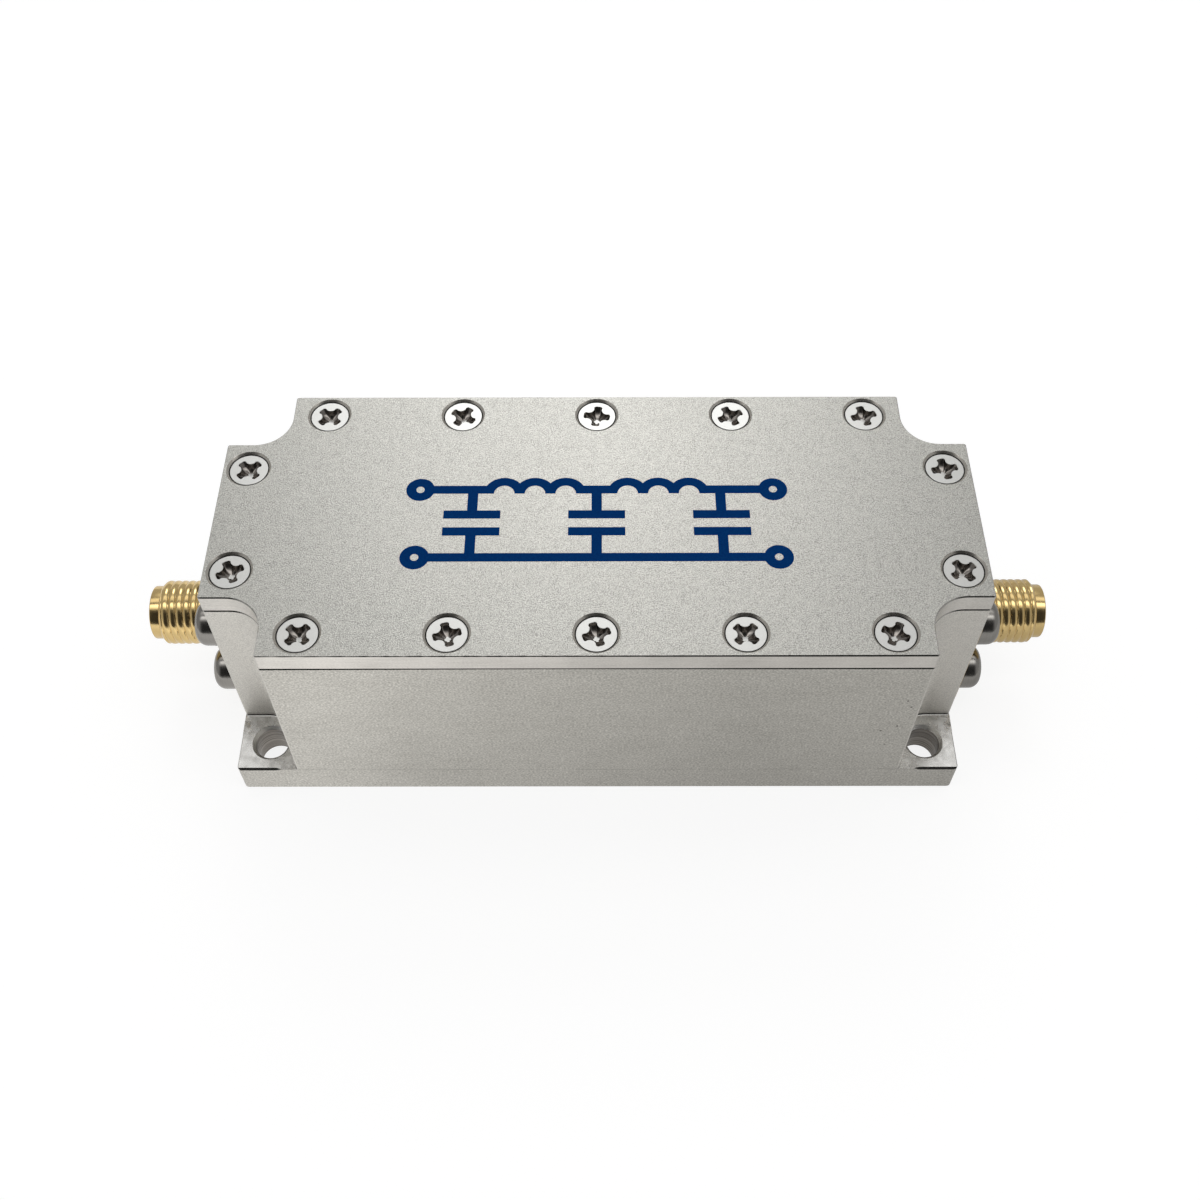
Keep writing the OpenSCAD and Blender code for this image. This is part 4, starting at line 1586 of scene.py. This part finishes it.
@dataclass
class Studio:
    """Pale floor, soft surroundings and the camera of the photograph."""

    eye: Point = (0.5213, -77.8373, 122.4702)
    aim: Point = (0.608972, 0.0024577, -0.0003284)
    lens: float = 41.236
    floor_half: float = 20.0
    floor_z: float = -0.00002
    floor_white: float = 1.205
    floor_share: float = 0.7
    # The floor's glow as seen in reflections is painted shade near the filter
    floor_front: Flat = (-37.0, -16.0)  # from where the sheen weakens towards the filter, to where
    floor_gain: Flat = (1.14, 0.9)
    paper_tone: Flat = (0.78, 0.8)
    sheen_half: float = 60.0
    # The floor's glow as seen in reflections along X: a painted pool of light, brightest at the left
    floor_sheen: tuple[Flat, ...] = (
        (-45.0, 1.0), (-30.0, 1.36), (-17.0, 1.05), (0.0, 0.84), (15.0, 0.68), (29.0, 0.7), (42.0, 0.6))
    spot_at: float = 0.242  # the bright patch's place in the row of stops
    spot_half: Flat = (0.02, 0.086)  # its half height there, at its core and at its edge
    spot_level: float = 3.85
    spot_x: float = -0.022
    spot_fall: float = 26.0
    side_from: Flat = (0.45, 0.8)
    side_level: float = 0.42
    # Brightness from the back's horizon (0) over the top (0.5) to the front's horizon (1)
    stops: tuple[Flat, ...] = (
        (0.0, 0.47), (0.15, 0.44), (0.2, 0.41), (0.3, 0.37), (0.33, 0.4), (0.355, 1.2), (0.425, 1.1),
        (0.46, 0.25), (0.49, 0.3), (0.515, 2.4), (0.55, 2.4), (0.6, 0.9), (0.65, 0.1), (0.72, 0.04),
        (0.93, 0.04), (1.0, 0.12))

    def floor(self) -> None:
        """Lays a white floor that keeps a faint shadow; in the metal's reflections it glows unevenly, a painted pool
        of light brightest at the left, with painted shade near the filter.
        """
        paper = bpy.data.materials.new("Paper white")
        paper.use_nodes = True
        tree = paper.node_tree
        tree.nodes.clear()
        grain = add(tree, "ShaderNodeTexNoise", {"Scale": 300.0})
        matt = add(tree, "ShaderNodeBsdfDiffuse", {"Color": add(tree, RANGE, {
            0: grain, 3: self.paper_tone[0], 4: self.paper_tone[1]})})
        path = add(tree, "ShaderNodeLightPath").outputs
        place = add(tree, "ShaderNodeTexCoord").outputs["Object"]
        x, y, _ = add(tree, "ShaderNodeSeparateXYZ", (place,)).outputs
        half = self.sheen_half
        sheen = add(tree, "ShaderNodeValToRGB", (add(tree, RANGE, (x, -half * MM, half * MM)),))
        set_stops(sheen.color_ramp, [((place + half) / (2 * half), value) for place, value in self.floor_sheen])
        away = add(tree, RANGE, (y, *(edge * MM for edge in self.floor_front), *self.floor_gain))
        lit = add(tree, MATH, (sheen, away), operation="MULTIPLY")
        level = add(tree, "ShaderNodeMix", {0: path["Is Camera Ray"], 2: lit, 3: self.floor_white})
        glow = add(tree, "ShaderNodeEmission", {"Strength": level})
        seen = add(tree, MATH, (path["Is Camera Ray"], path["Is Glossy Ray"]), operation="MAXIMUM")
        share = add(tree, MATH, (seen, self.floor_share), operation="MULTIPLY")
        add(tree, "ShaderNodeOutputMaterial", {"Surface": add(tree, "ShaderNodeMixShader", (share, matt, glow))})
        data = bpy.data.meshes.new("floor")
        corners = ((-1, -1), (1, -1), (1, 1), (-1, 1))
        data.from_pydata([(x * self.floor_half, y * self.floor_half, self.floor_z) for x, y in corners], [],
                         [(0, 1, 2, 3)])
        data.materials.append(paper)
        put("floor", data)

    def surroundings(self) -> None:
        """Surrounds the filter with a mid back, two bright bands overhead, a dark front and one soft patch."""
        world = bpy.data.worlds.new("Studio")
        bpy.context.scene.world = world
        world.use_nodes = True
        tree = world.node_tree
        tree.nodes.clear()
        way = add(tree, "ShaderNodeTexCoord").outputs["Generated"]
        known = dict(zip("xyz", add(tree, "ShaderNodeSeparateXYZ", (way,)).outputs))
        for name, operation, *terms in (
                ("tilt", "ARCTAN2", "z", "y"),
                ("share", "DIVIDE", "tilt", pi),
                ("aside", "ABSOLUTE", "x"),
                ("off", "SUBTRACT", "share", self.spot_at),
                ("off", "ABSOLUTE", "off"),
                ("fade", "SUBTRACT", "x", self.spot_x),
                ("fade", "POWER", "fade", 2.0),
                ("fade", "SUBTRACT", 1.0, "fade"),
                ("fade", "POWER", "fade", self.spot_fall)):
            known[name] = add(tree, MATH, [known.get(term, term) for term in terms], operation=operation)
        bands = add(tree, "ShaderNodeValToRGB", (known["share"],))
        set_stops(bands.color_ramp, self.stops)
        core = add(tree, RANGE, (known["off"], *self.spot_half, self.spot_level, 0.0),
                   interpolation_type="SMOOTHSTEP")
        spot = add(tree, MATH, (core, known["fade"]), operation="MULTIPLY")
        flank = add(tree, RANGE, (known["aside"], *self.side_from), interpolation_type="SMOOTHSTEP")
        bands = add(tree, "ShaderNodeMix", {0: flank, 2: bands, 3: self.side_level})
        total = add(tree, MATH, (bands, spot), operation="ADD")
        around, plain = (add(tree, "ShaderNodeBackground", {"Color": (1, 1, 1, 1), "Strength": strength})
                         for strength in (total, 1.0))
        seen = add(tree, "ShaderNodeLightPath").outputs["Is Camera Ray"]
        add(tree, "ShaderNodeOutputWorld", {"Surface": add(tree, "ShaderNodeMixShader", (seen, around, plain))})

    def camera(self) -> None:
        """Puts the camera where the photograph was taken from."""
        data = bpy.data.cameras.new("camera")
        data.sensor_width = 36.0
        data.lens = self.lens
        data.clip_start = 0.005
        made = put("camera", data)
        made.location = [c * MM for c in self.eye]
        made.rotation_euler = self.aim
        bpy.context.scene.camera = made

    def build(self) -> None:
        """Sets up the whole studio."""
        self.floor()
        self.surroundings()
        self.camera()
        bpy.context.scene.view_settings.view_transform = "Standard"


def main() -> None:
    """Builds the filter's looks in order."""
    logging.basicConfig(level=logging.INFO, format="%(name)s: %(message)s")
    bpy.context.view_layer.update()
    Studio().build()
    Housing().build()
    Lid().build()
    setter, cutter = ScrewSetter(), ThreadCutter()
    LidScrews().build(setter)
    for end in End:
        JackShell(end=end).build(cutter)
        FlangeScrews(end=end).build(setter)
    Inside().dress()


if __name__ == "__main__":
    main()
